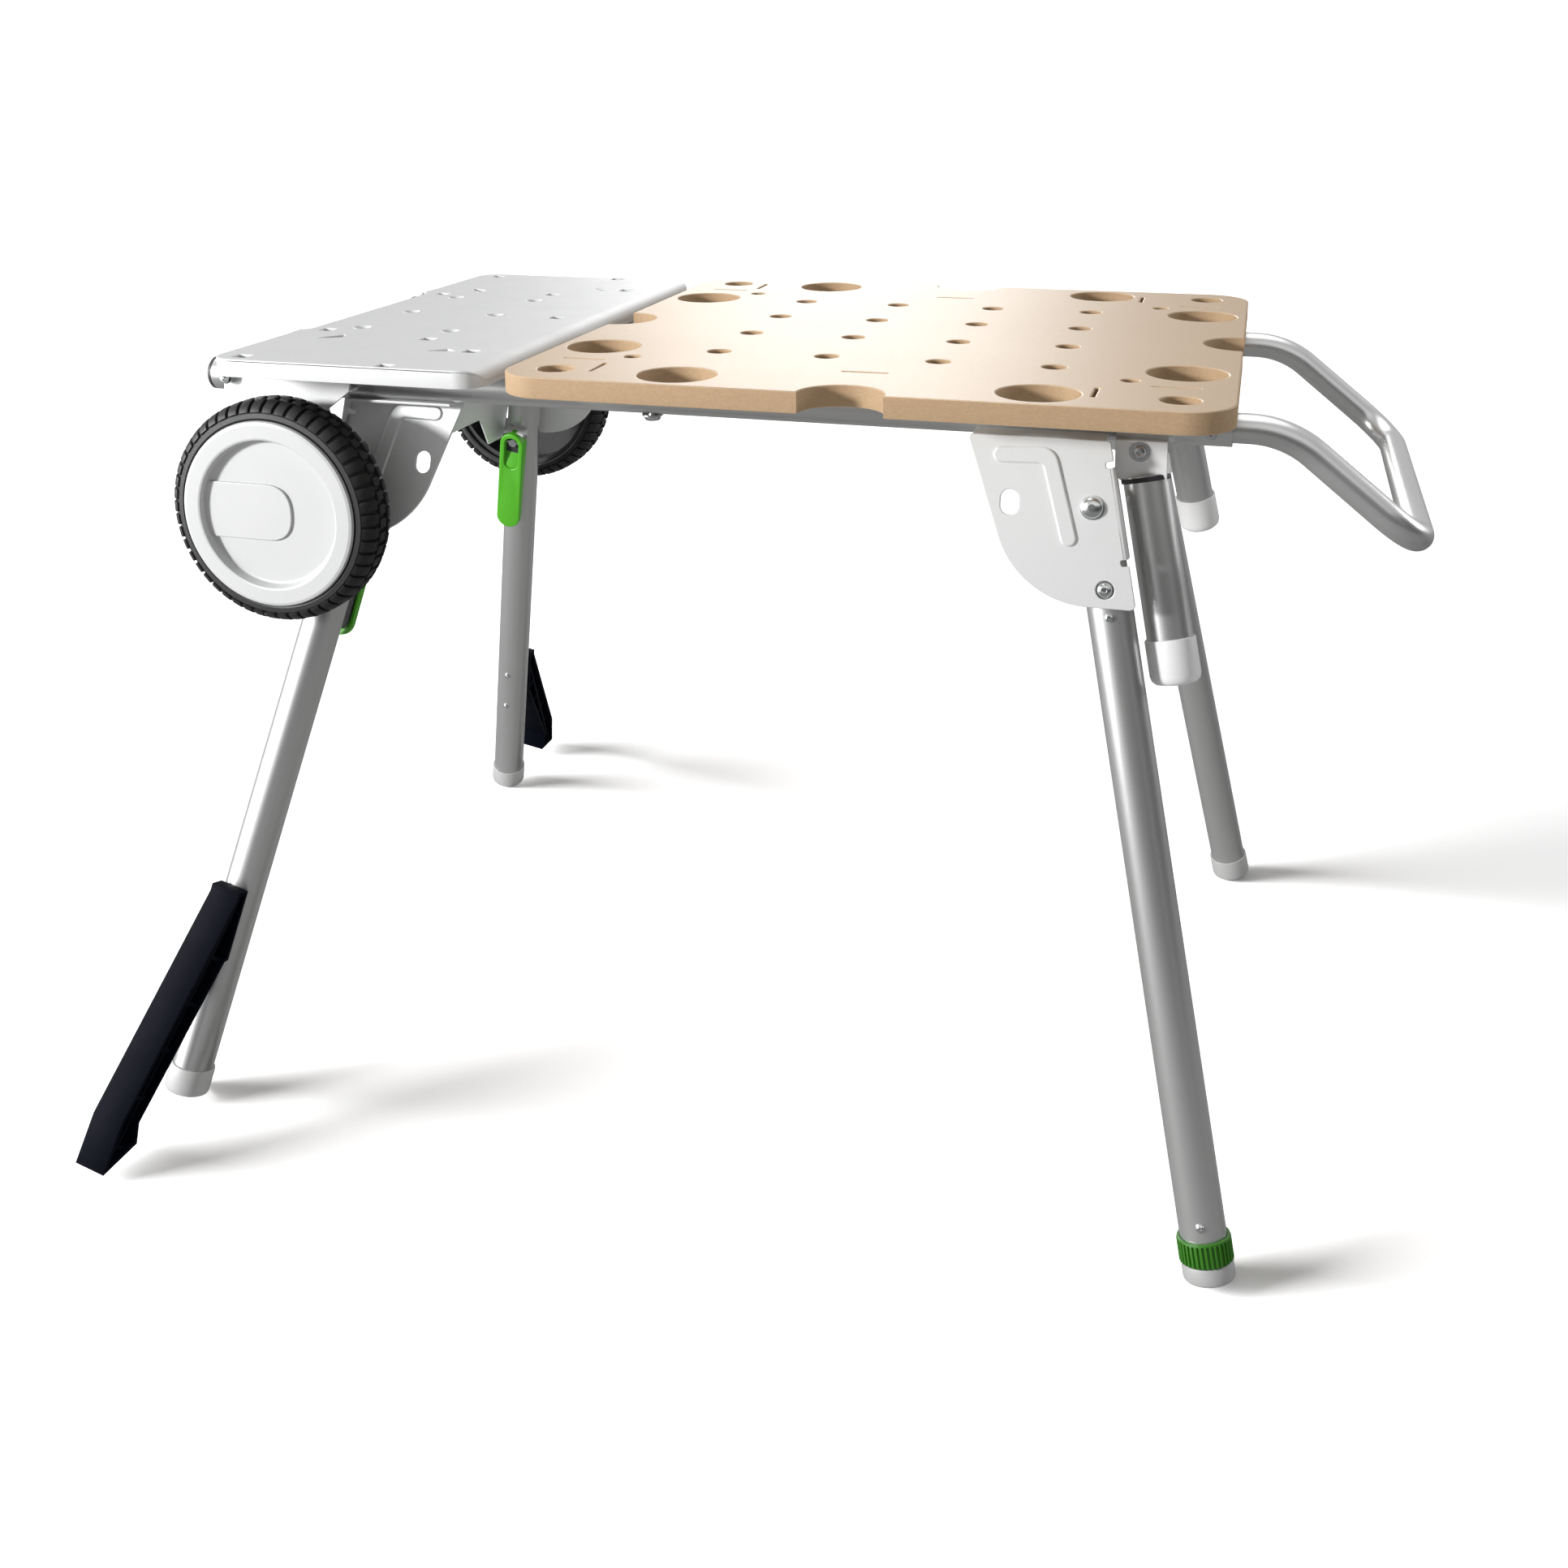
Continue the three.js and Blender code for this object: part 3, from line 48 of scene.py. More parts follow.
datum = Vector(((board_low.x + board_high.x) / 2, (board_low.y + board_high.y) / 2, board_high.z))
metres = Matrix.Scale(0.001, 4)
top_height = datum.z * 1000
board_half = (board_high.x - board_low.x) * 500
board_thickness = (board_high.z - board_low.z) * 1000


def at(x=0.0, y=0.0, z=0.0):
    """Frame of a point given in millimetres from the datum."""
    return Matrix.Translation(datum) @ metres @ Matrix.Translation((x, y, z))


def arc(cx, cy, radius, start, end, count=16):
    """Points of an arc, its angles in degrees."""
    angles = [math.radians(start + (end - start) * i / count) for i in range(count + 1)]
    return [(cx + radius * math.cos(a), cy + radius * math.sin(a)) for a in angles]


def circle(cx, cy, radius, count=56):
    """Points of a full circle."""
    return arc(cx, cy, radius, 0, 360, count)[:-1]


def pill(ax, ay, bx, by, width, count=12):
    """Outline of a straight slot with round ends between two points."""
    turn = math.degrees(math.atan2(by - ay, bx - ax))
    ends = arc(bx, by, width / 2, turn - 90, turn + 90, count)
    return ends + arc(ax, ay, width / 2, turn + 90, turn + 270, count)


def fillet(points, radius, count=6):
    """The outline with every corner rounded, by a radius or by one radius for each corner."""
    radii = radius if isinstance(radius, list) else [radius] * len(points)
    out = []
    for i, here in enumerate(points):
        here = Vector(here)
        before = Vector(points[i - 1]) - here
        after = Vector(points[(i + 1) % len(points)]) - here
        angle = before.angle(after)
        reach = radii[i] / math.tan(angle / 2) if 0.05 < angle < 3.1 else 0.0
        reach = min(reach, before.length * 0.49, after.length * 0.49)
        if reach < 0.05:
            out.append(tuple(here))
            continue
        start = here + before.normalized() * reach
        end = here + after.normalized() * reach
        for step in range(count + 1):
            share = step / count
            bend = start * (1 - share) ** 2 + here * 2 * share * (1 - share) + end * share**2
            out.append(tuple(bend))
    return out


def cleaned(mesh):
    """Welds the mesh, turns its faces outward and keeps the level ones flat."""
    shape = bmesh.new()
    shape.from_mesh(mesh)
    bmesh.ops.remove_doubles(shape, verts=shape.verts, dist=0.002)
    bmesh.ops.recalc_face_normals(shape, faces=shape.faces)
    shape.to_mesh(mesh)
    shape.free()
    for face in mesh.polygons:
        face.use_smooth = abs(face.normal.z) < 0.9995
    return mesh


def placed(name, data):
    """New object in the scene."""
    made = bpy.data.objects.new(name, data)
    bpy.context.scene.collection.objects.link(made)
    return made


def evaluated(holder):
    """Plain mesh of an object with its modifiers, the object itself removed."""
    bpy.context.view_layer.update()
    graph = bpy.context.evaluated_depsgraph_get()
    mesh = bpy.data.meshes.new_from_object(holder.evaluated_get(graph))
    bpy.data.objects.remove(holder)
    return mesh


def sheet(loops, low, high, bevel=0.8):
    """Plate with rounded edges: the first loop is its outline and the others are its holes."""
    curve = bpy.data.curves.new("outline", "CURVE")
    curve.dimensions = "2D"
    curve.fill_mode = "BOTH"
    curve.extrude = (high - low) / 2 - bevel
    curve.bevel_depth = bevel
    curve.bevel_resolution = 2
    curve.offset = -bevel
    for loop in loops:
        spline = curve.splines.new("POLY")
        spline.points.add(len(loop) - 1)
        for point, place in zip(spline.points, loop):
            point.co = (place[0], place[1], 0, 1)
        spline.use_cyclic_u = True
    mesh = evaluated(placed("outline", curve))
    mesh.transform(Matrix.Translation((0, 0, (low + high) / 2)))
    return cleaned(mesh)


def moved(mesh, *matrices):
    """The mesh moved by each matrix in turn, the last one first."""
    for matrix in reversed(matrices):
        mesh.transform(matrix)
    return mesh


def joined(*meshes):
    """One mesh made of several."""
    shape = bmesh.new()
    for mesh in meshes:
        shape.from_mesh(mesh)
    whole = bpy.data.meshes.new("joined")
    shape.to_mesh(whole)
    shape.free()
    return whole


def group_tree(name, outputs):
    """New shader node group with a Vector and a Scale input and the named value outputs."""
    tree = bpy.data.node_groups.new(name, "ShaderNodeTree")
    tree.interface.new_socket("Vector", in_out="INPUT", socket_type="NodeSocketVector")
    scale = tree.interface.new_socket("Scale", in_out="INPUT", socket_type="NodeSocketFloat")
    scale.default_value = 1.0
    for output in outputs:
        tree.interface.new_socket(output, in_out="OUTPUT", socket_type="NodeSocketFloat")
    return tree, tree.nodes.new("NodeGroupInput"), tree.nodes.new("NodeGroupOutput")


def make(tree, kind, settings=(), **inputs):
    """New node with its properties set, and with its inputs linked or given values."""
    made = tree.nodes.new(kind)
    for key, value in dict(settings).items():
        setattr(made, key, value)
    for key, value in inputs.items():
        name = key.replace("_", " ")
        target = made.inputs[int(key[1:])] if key[0] == "i" and key[1:].isdigit() else made.inputs[name]
        if isinstance(value, bpy.types.NodeSocket):
            tree.links.new(value, target)
        else:
            target.default_value = value
    return made


def colour_mix(tree, factor, first, second):
    """Output that runs from the first colour to the second, each a colour or another node's output."""
    return make(tree, "ShaderNodeMix", {"data_type": "RGBA"}, Factor=factor, i6=first, i7=second).outputs[2]


def noise_pattern(name, stretch, sizes, weights, detail=4.0):
    """Group of noises at several sizes, stretched along the axes, with a Tone and a Height output."""
    tree, given, result = group_tree(name, ["Tone", "Height"])
    scaled = make(tree, "ShaderNodeVectorMath", {"operation": "SCALE"}, i0=given.outputs["Vector"])
    tree.links.new(given.outputs["Scale"], scaled.inputs["Scale"])
    long = make(tree, "ShaderNodeVectorMath", {"operation": "MULTIPLY"}, i0=scaled.outputs[0], i1=stretch)
    total = None
    for size, weight in zip(sizes, weights):
        noise = make(
            tree, "ShaderNodeTexNoise", Vector=long.outputs[0], Scale=size, Detail=detail, Roughness=0.6,
        )
        part = make(tree, "ShaderNodeMath", {"operation": "MULTIPLY"}, i0=noise.outputs[0], i1=weight)
        if total is None:
            total = part
        else:
            total = make(
                tree, "ShaderNodeMath", {"operation": "ADD"}, i0=total.outputs[0], i1=part.outputs[0],
            )
    spread = make(tree, "ShaderNodeMapRange", i0=total.outputs[0], i1=0.3, i2=0.7, i3=0.0, i4=1.0)
    tree.links.new(spread.outputs[0], result.inputs["Tone"])
    fine = make(tree, "ShaderNodeTexNoise", Vector=long.outputs[0], Scale=sizes[-1] * 2, Detail=2.0)
    tree.links.new(fine.outputs[0], result.inputs["Height"])
    return tree


def surface(
    name, pattern, dark, light, rough, metal=0.0, bump=0.1, scale=1.0, coordinate="Object", shine=0.5,
):
    """Procedural finish: the pattern's tone runs the colour from dark to light and varies the roughness."""
    material = bpy.data.materials.new(name)
    material.use_nodes = True
    tree = material.node_tree
    shader = tree.nodes["Principled BSDF"]
    place = make(tree, "ShaderNodeTexCoord")
    marks = make(
        tree, "ShaderNodeGroup", {"node_tree": pattern}, Vector=place.outputs[coordinate], Scale=scale,
    )
    colour = colour_mix(tree, marks.outputs["Tone"], (*dark, 1), (*light, 1))
    tree.links.new(colour, shader.inputs["Base Color"])
    gloss = make(tree, "ShaderNodeMapRange", i0=marks.outputs["Tone"], i3=rough * 1.12, i4=rough * 0.88)
    tree.links.new(gloss.outputs[0], shader.inputs["Roughness"])
    relief = make(tree, "ShaderNodeBump", Strength=bump, Distance=0.0004, Height=marks.outputs["Height"])
    tree.links.new(relief.outputs[0], shader.inputs["Normal"])
    shader.inputs["Metallic"].default_value = metal
    shader.inputs["Specular IOR Level"].default_value = shine
    return material


def piece(name, mesh, materials, body, slot, *nodes, smooth=35):
    """A finished object: its mesh, its finish, the body it rides and the solids it stands for; its slot is
    not used.
    """
    mesh.name = name
    slots = [face.material_index for face in mesh.polygons]
    mesh.materials.clear()
    for material in materials if isinstance(materials, list) else [materials]:
        mesh.materials.append(material)
    mesh.polygons.foreach_set("material_index", slots)
    flat = [face.index for face in mesh.polygons if not face.use_smooth]
    mesh.set_sharp_from_angle(angle=math.radians(smooth))
    for index in flat:
        mesh.polygons[index].use_smooth = False
    made = placed(name, mesh)
    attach(made, body)
    if nodes:
        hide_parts(*nodes)
    return made


def board_outline():
    """Square with rounded corners and a half-round notch in the middle of each side."""
    half, corner, notch = board_half, 40, 34
    points = []
    for turn in range(4):
        side = arc(half, 0, notch, 270, 90, 32) + arc(half - corner, half - corner, corner, 0, 90, 20)
        spin = Matrix.Rotation(math.radians(90 * turn), 2)
        points += [tuple(spin @ Vector(point)) for point in side]
    return points


grid_step = 96
near_edge, inward = 250, 145
slot_y, slot_width = 204, 2.6
board_holes = [
    circle(grid_step * (i - 1.5), grid_step * (j - 1.5), 10) for i in range(4) for j in range(4)
]
for sx in (-1, 1):
    for sy in (-1, 1):
        board_holes.append(circle(inward * sx, near_edge * sy, 32, 72))
        board_holes.append(circle(near_edge * sx, inward * sy, 32, 72))
        board_holes.append(circle(near_edge * sx, near_edge * sy, 15))
        board_holes.append(circle(208 * sx, 185 * sy, 7, 36))
        middle = 244.5 * sx
        board_holes.append(pill(middle - 17, slot_y * sy, middle + 17, slot_y * sy, slot_width, 4))
for sy in (-1, 1):
    board_holes.append(pill(-18, slot_y * sy, 17, slot_y * sy, slot_width, 4))
    board_holes.append(pill(-219, 253 * sy, -219, 219 * sy, slot_width, 4))
    board_holes.append(pill(186, 253 * sy, 186, 221 * sy, slot_width, 4))
wood_pattern = noise_pattern("fibre_pattern", (0.6, 1.0, 1.0), (9.0, 500.0, 1500.0), (0.12, 0.4, 0.48))
core_pattern = noise_pattern("pressed_fibre_pattern", (1.0, 1.0, 2.5), (300.0, 1400.0), (0.5, 0.5))
board_face = surface("board_face", wood_pattern, (0.50, 0.355, 0.22), (0.56, 0.41, 0.265), 0.5, bump=0.08)
board_core = surface("board_core", core_pattern, (0.36, 0.235, 0.13), (0.47, 0.32, 0.185), 0.8, bump=0.4)
board_mesh = moved(sheet([board_outline()] + board_holes, -board_thickness, 0, 1.4), at())
for face in board_mesh.polygons:
    face.material_index = 0 if abs(face.normal.z) > 0.35 else 1
piece("board", board_mesh, [board_face, board_core], "stand_frame", "board", "worktop_board")

# Platform: moulded tray beside the board, a flat top with a rolled edge towards it, a rim and
# crossing ribs below. It rests on the rails and is screwed down through its countersunk holes.
tray_width = 250
tray_right = -board_half - 21
tray_left = tray_right - tray_width
tray_half = 272
tray_top, tray_bottom = -2, -board_thickness


def tray_plan(inset=0.0):
    """The tray's outline seen from above, drawn in by an inset."""
    right, left, half = tray_right - inset, tray_left - 4 + inset, tray_half - inset
    corner = 22 - inset
    return (
        arc(right - corner, half - corner, corner, 0, 90)
        + arc(left + corner, half - corner, corner, 90, 180)
        + fillet([(left, 121), (left + 6, 115), (left + 6, -115), (left, -121)], 3)
        + arc(left + corner, corner - half, corner, 180, 270)
        + arc(right - corner, corner - half, corner, 270, 360)
    )


def tray_spot(along, across):
    """Place on the tray, given as shares of its width and of its length."""
    return tray_left + along * tray_width, across * (2 * tray_half)


def square_hole(along, across):
    """Outline of one of the tray's small square holes."""
    x, y = tray_spot(along, across)
    return fillet([(x - 6.5, y - 6.5), (x + 6.5, y - 6.5), (x + 6.5, y + 6.5), (x - 6.5, y + 6.5)], 1)


square_spots = [(0.083, 0.469), (0.083, 0.213), (0.552, 0.257), (0.652, 0.487), (0.816, 0.342)]
tray_holes = [square_hole(along, side * across) for along, across in square_spots for side in (-1, 1)]
tray_holes.append(square_hole(0.816, 0))
boss_spots = [(0.188, 0.178), (0.552, 0.175)]
tray_bosses = [tray_spot(along, side * across) for along, across in boss_spots for side in (-1, 0, 1)]
tray_holes += [circle(x, y, 9, 32) for x, y in tray_bosses]
for side in (-1, 1):
    tray_holes.append(fillet([(-528, 162 * side), (-506, 150 * side), (-510, 136 * side)], 2))
    tray_holes.append(fillet([(-399, 194 * side), (-371, 190 * side), (-383, 180 * side)], 2))


def turned(profile, count=64):
    """Ring swept about the Z axis from [radius, height] points, with lengths around and along it as UV."""
    shape = bmesh.new()
    uv = shape.loops.layers.uv.new("UVMap")
    widest = max(radius for radius, _ in profile)
    rings, heights, run = [], [], 0.0
    for i, (radius, height) in enumerate(profile):
        if i:
            run += math.dist(profile[i - 1], (radius, height))
        heights.append(run)
        spots = 1 if radius < 1e-6 else count
        rings.append([
            shape.verts.new((
                radius * math.cos(2 * math.pi * k / count),
                radius * math.sin(2 * math.pi * k / count),
                height,
            ))
            for k in range(spots)
        ])
    around = 2 * math.pi * widest / count
    pairs = list(range(len(rings) - 1))
    if profile[0][0] > 1e-6 and profile[-1][0] > 1e-6:
        pairs.append(len(rings) - 1)
    for i in pairs:
        lower, upper = rings[i], rings[(i + 1) % len(rings)]
        v0, v1 = heights[i], heights[(i + 1) % len(rings)]
        for k in range(count):
            n = (k + 1) % count
            corners = [(lower[k % len(lower)], (k, v0)), (lower[n % len(lower)], (k + 1, v0))]
            corners += [(upper[n % len(upper)], (k + 1, v1)), (upper[k % len(upper)], (k, v1))]
            seen, kept = set(), []
            for vert, place in corners:
                if vert not in seen:
                    seen.add(vert)
                    kept.append((vert, place))
            if len(kept) < 3:
                continue
            face = shape.faces.new([vert for vert, _ in kept])
            for loop, (_, place) in zip(face.loops, kept):
                loop[uv].uv = (place[0] * around, place[1])
    bmesh.ops.recalc_face_normals(shape, faces=shape.faces)
    mesh = bpy.data.meshes.new("turned")
    shape.to_mesh(mesh)
    shape.free()
    for face in mesh.polygons:
        face.use_smooth = abs(face.normal.z) < 0.999
    return mesh


def block(x0, x1, y0, y1, z0, z1, bevel=0.5):
    """Rectangular bar with softened edges."""
    return sheet([[(x0, y0), (x1, y0), (x1, y1), (x0, y1)]], z0, z1, bevel)


def rolled(mesh):
    """Lowers the tray's upper face towards its right edge in a soft curve."""
    shape = bmesh.new()
    shape.from_mesh(mesh)
    for step in range(1, 12):
        spot = (tray_right - 18 + step * 1.5, 0, 0)
        geometry = shape.verts[:] + shape.edges[:] + shape.faces[:]
        bmesh.ops.bisect_plane(shape, geom=geometry, plane_co=spot, plane_no=(1, 0, 0))
    for vert in shape.verts:
        share = (vert.co.x - tray_right + 17) / 17
        if share > 0 and vert.co.z > tray_bottom + 0.5:
            fall = 11 * (1 - math.sqrt(max(0.0, 1 - min(share, 1) ** 2.2)))
            lowest = tray_bottom + 0.6
            vert.co.z = lowest + (vert.co.z - lowest) * (1 - fall / (tray_top - lowest))
    shape.to_mesh(mesh)
    shape.free()
    for face in mesh.polygons:
        face.use_smooth = face.use_smooth or face.center.x > tray_right - 19
    return mesh


tray_parts = [rolled(sheet([tray_plan()] + tray_holes, tray_top - 3.2, tray_top, 1.2))]
tray_parts.append(rolled(sheet([tray_plan(), tray_plan(3.2)], tray_bottom, tray_top - 0.9, 0.5)))
rib_half, rib_low, rib_high = 1.6, tray_bottom + 0.4, tray_top - 2
for column in (1, 2):
    rib_x = tray_left + 9 + column * 76
    tray_parts.append(
        block(rib_x - rib_half, rib_x + rib_half, 4 - tray_half, tray_half - 4, rib_low, rib_high)
    )
for row in (-1, 0, 1):
    rib_y = row * 134
    tray_parts.append(
        block(tray_left + 8, tray_right - 14, rib_y - rib_half, rib_y + rib_half, rib_low, rib_high)
    )
cup = [
    (9.6, tray_top - 1), (9.6, rib_low), (4.5, rib_low), (4.5, tray_top - 4), (8.6, tray_top),
    (9.1, tray_top),
]
for x, y in tray_bosses:
    tray_parts.append(moved(turned(cup, 40), Matrix.Translation((x, y, 0))))
moulded_pattern = noise_pattern("moulded_pattern", (1.0, 1.0, 1.0), (25.0, 500.0, 2600.0), (0.4, 0.3, 0.3))
tray_paint = surface(
    "moulded_grey", moulded_pattern, (0.58, 0.585, 0.585), (0.64, 0.645, 0.64), 0.5, bump=0.12,
)
piece("platform", moved(joined(*tray_parts), at()), tray_paint, "stand_frame", "platform", "platform_plate")

# Rails: two drawn tubes, 30 mm across, that carry the board and the platform. Black plugs close
# their left ends, and the handle is pushed into the right ones. Each turn below lays the Z axis of
# a turned or flat shape along the stand, towards the back or towards the front.
to_x = Matrix.Rotation(math.radians(90), 4, "Y")
to_y = Matrix.Rotation(math.radians(-90), 4, "X")
to_front = Matrix.Rotation(math.radians(90), 4, "X")
rail_y, rail_z = 187, -33
drawn_pattern = noise_pattern("drawn_pattern", (1.0, 0.01, 1.0), (1.5, 4.0, 9.0), (0.35, 0.35, 0.3))
tube_paint = surface(
    "satin_tube", drawn_pattern, (0.66, 0.665, 0.66), (0.71, 0.715, 0.71), 0.3, 0.85, 0.02, 1.0, "UV"
)
black_plastic = surface(
    "black_plastic", moulded_pattern, (0.012, 0.012, 0.014), (0.028, 0.028, 0.032), 0.5, bump=0.3,
)


def mirror(mesh):
    """Copy of a mesh, mirrored from the front to the back."""
    copy = mesh.copy()
    copy.transform(Matrix.Scale(-1, 4, (0, 1, 0)))
    copy.flip_normals()
    return copy


def pair(stem, mesh, materials, bodies, slot, *stems):
    """A front piece and its mirror image at the back."""
    for side, shape in (("front", mesh), ("back", mirror(mesh))):
        body = bodies if bodies == "stand_frame" else f"{bodies}_{side}"
        piece(f"{stem}_{side}", shape, materials, body, slot, *[f"{s}_{side}" for s in stems])


rail_profile = [
    (13, -612), (14.7, -612), (15, -611.7), (15, 287.4), (14.4, 288), (12.5, 288), (12.3, 287),
    (12.3, 200), (11.5, 200), (11.5, -597), (13, -597),
]
pair(
    "rail", moved(turned(rail_profile), at(0, -rail_y, rail_z), to_x), tube_paint, "stand_frame", "tube",
    "rail",
)
plug_profile = [
    (0, -617.8), (9, -617.5), (13, -616.6), (14.8, -615), (15, -613.6), (15, -612.3), (12.6, -612.2),
    (12.6, -598), (0, -598),
]
pair(
    "rail_plug", moved(turned(plug_profile), at(0, -rail_y, rail_z), to_x),
    black_plastic, "stand_frame", "black", "rail_cap",
)

# Handle: one tube, 24 mm across, bent down and across the right end, its arms pushed into the rails.


def swept(stations, radius, count=48):
    """Round bar through the stations, closed at both ends, with lengths around and along it as UV."""
    shape = bmesh.new()
    uv = shape.loops.layers.uv.new("UVMap")
    side = Vector((0, 0, 1)) if abs((stations[1] - stations[0]).normalized().z) < 0.9 else Vector((1, 0, 0))
    rings, runs, run = [], [], 0.0
    for i, spot in enumerate(stations):
        before, after = stations[max(i - 1, 0)], stations[min(i + 1, len(stations) - 1)]
        along = (after - before).normalized()
        side = (side - along * side.dot(along)).normalized()
        other = along.cross(side)
        if i:
            run += (spot - stations[i - 1]).length
        runs.append(run)
        ring = []
        for k in range(count):
            a = 2 * math.pi * k / count
            ring.append(shape.verts.new(spot + (side * math.cos(a) + other * math.sin(a)) * radius))
        rings.append(ring)
    around = 2 * math.pi * radius / count
    for i in range(len(rings) - 1):
        for k in range(count):
            n = (k + 1) % count
            face = shape.faces.new((rings[i][k], rings[i][n], rings[i + 1][n], rings[i + 1][k]))
            places = ((k, runs[i]), (k + 1, runs[i]), (k + 1, runs[i + 1]), (k, runs[i + 1]))
            for loop, place in zip(face.loops, places):
                loop[uv].uv = (place[0] * around, place[1])
    shape.faces.new(list(reversed(rings[0])))
    shape.faces.new(rings[-1])
    bmesh.ops.recalc_face_normals(shape, faces=shape.faces)
    mesh = bpy.data.meshes.new("swept")
    shape.to_mesh(mesh)
    shape.free()
    for face in mesh.polygons:
        face.use_smooth = len(face.vertices) == 4
    return mesh


def bent(corners, radii, steps=14):
    """Stations of a bent bar: straight runs joined by round bends of the given radii."""
    out = [corners[0]]
    for i in range(1, len(corners) - 1):
        back = (corners[i - 1] - corners[i]).normalized()
        ahead = (corners[i + 1] - corners[i]).normalized()
        half = back.angle(ahead) / 2
        radius = radii[i - 1]
        centre = corners[i] + (back + ahead).normalized() * (radius / math.sin(half))
        start = corners[i] + back * (radius / math.tan(half)) - centre
        end = corners[i] + ahead * (radius / math.tan(half)) - centre
        sweep = start.angle(end)
        for step in range(steps + 1):
            first = math.sin((1 - step / steps) * sweep) / math.sin(sweep)
            second = math.sin(step / steps * sweep) / math.sin(sweep)
            out.append(centre + start * first + end * second)
    out.append(corners[-1])
    return out


handle_corners = [
    Vector(p) for p in (
        (240, -rail_y, rail_z), (328, -rail_y, rail_z), (431, -rail_y, -118),
        (431, rail_y, -118), (328, rail_y, rail_z), (240, rail_y, rail_z),
    )
]
handle_mesh = moved(swept(bent(handle_corners, [76, 38, 38, 76]), 12), at())
piece("handle", handle_mesh, tube_paint, "stand_frame", "tube", "handle_tube")

# Cross members: a pressed channel under the gap between board and platform, and a round tube
# between the rails under the board's right half, both welded to the rails.
plate_pattern = noise_pattern("rolled_pattern", (1.0, 1.0, 1.0), (8.0, 90.0, 900.0), (0.5, 0.25, 0.25))
plate_paint = surface(
    "pressed_plate", plate_pattern, (0.66, 0.67, 0.665), (0.73, 0.735, 0.73), 0.42, 0.25, 0.05,
)


def node_copy(name, bevel):
    """Mesh of a solid, welded, with its edges softened."""
    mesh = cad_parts[name].data.copy()
    shape = bmesh.new()
    shape.from_mesh(mesh)
    bmesh.ops.remove_doubles(shape, verts=shape.verts, dist=0.00002)
    bmesh.ops.dissolve_limit(
        shape, angle_limit=math.radians(1), verts=shape.verts, edges=shape.edges, delimit={"NORMAL"}
    )
    shape.to_mesh(mesh)
    shape.free()
    holder = placed("softened", mesh)
    soften = holder.modifiers.new("soften", "BEVEL")
    soften.width = bevel
    soften.segments = 2
    soften.limit_method = "ANGLE"
    soften.angle_limit = math.radians(40)
    softened = evaluated(holder)
    softened.shade_smooth()
    return softened


piece(
    "cross_channel", node_copy("cross_member_middle", 0.0008),
    plate_paint, "stand_frame", "plate", "cross_member_middle",
)
cross_profile = [(10.5, -171.7), (12.5, -171.7), (12.5, 171.7), (10.5, 171.7)]
piece(
    "cross_tube", moved(turned(cross_profile), at(150, 0, rail_z), to_y),
    tube_paint, "stand_frame", "tube", "cross_tube_right",
)

# Leg brackets: pressed plates beside each leg's top, with a bent-in flange, a top flange on the
# rail and a raised rib. The pivot bolt and the latch pin show in their faces.


def plane_frame(x, y, drop, tilt):
    """Frame of a leaning leg plane at the front: X along the stand, Y up the slope, Z outward."""
    rows = [(1, 0, 0), (0, math.sin(tilt), math.cos(tilt)), (0, -math.cos(tilt), math.sin(tilt))]
    turn = Matrix([[rows[c][r] for c in range(3)] for r in range(3)]).to_4x4()
    return at(x, -y, -drop) @ turn


def leg_pose(x, y, drop, foot_x, foot_y, depth=None):
    """Frames and length of a front leg, from its pivot's place and drop to its foot's place and depth."""
    fall = (top_height if depth is None else depth) - drop
    tilt = math.atan2(foot_y - y, fall)
    slope = math.hypot(foot_y - y, fall)
    lean = math.atan2(foot_x - x, slope)
    plane = plane_frame(x, y, drop, tilt)
    steep = math.acos(math.cos(tilt) * math.cos(lean))
    return {
        "tilt": tilt, "lean": lean, "plane": plane,
        "leg": plane @ Matrix.Rotation(lean, 4, "Z"),
        "length": math.hypot(foot_x - x, slope) - 20 * math.tan(steep),
    }


right_pivot, left_pivot = (187, 216, 95), (-472, 168, 104)
right_pose = leg_pose(*right_pivot, 307, 336)
left_pose = leg_pose(*left_pivot, -602, 344)
plate_in, plate_out = 18.8, 21.3
plate_radius, plate_arm = 77, 100
latch_reach = 64


def ribbon(points, width):
    """Outline of a band along three points, with round ends and a round outer corner."""
    a, b, c = (Vector(p) for p in points)
    first, second = (b - a).normalized(), (c - b).normalized()
    normal_a, normal_b = Vector((-first.y, first.x)), Vector((-second.y, second.x))
    middle = (normal_a + normal_b).normalized()
    reach = width / 2 / middle.dot(normal_a)
    turn_a = math.degrees(math.atan2(first.y, first.x))
    turn_c = math.degrees(math.atan2(second.y, second.x))
    start = arc(a.x, a.y, width / 2, turn_a + 90, turn_a + 270, 8)
    end = arc(c.x, c.y, width / 2, turn_c - 90, turn_c + 90, 8)
    inner, outer = b - middle * reach, b + middle * reach
    points = start + [tuple(inner)] + end + [tuple(outer)]
    return fillet(points, [0] * len(start) + [5] + [0] * len(end) + [15])


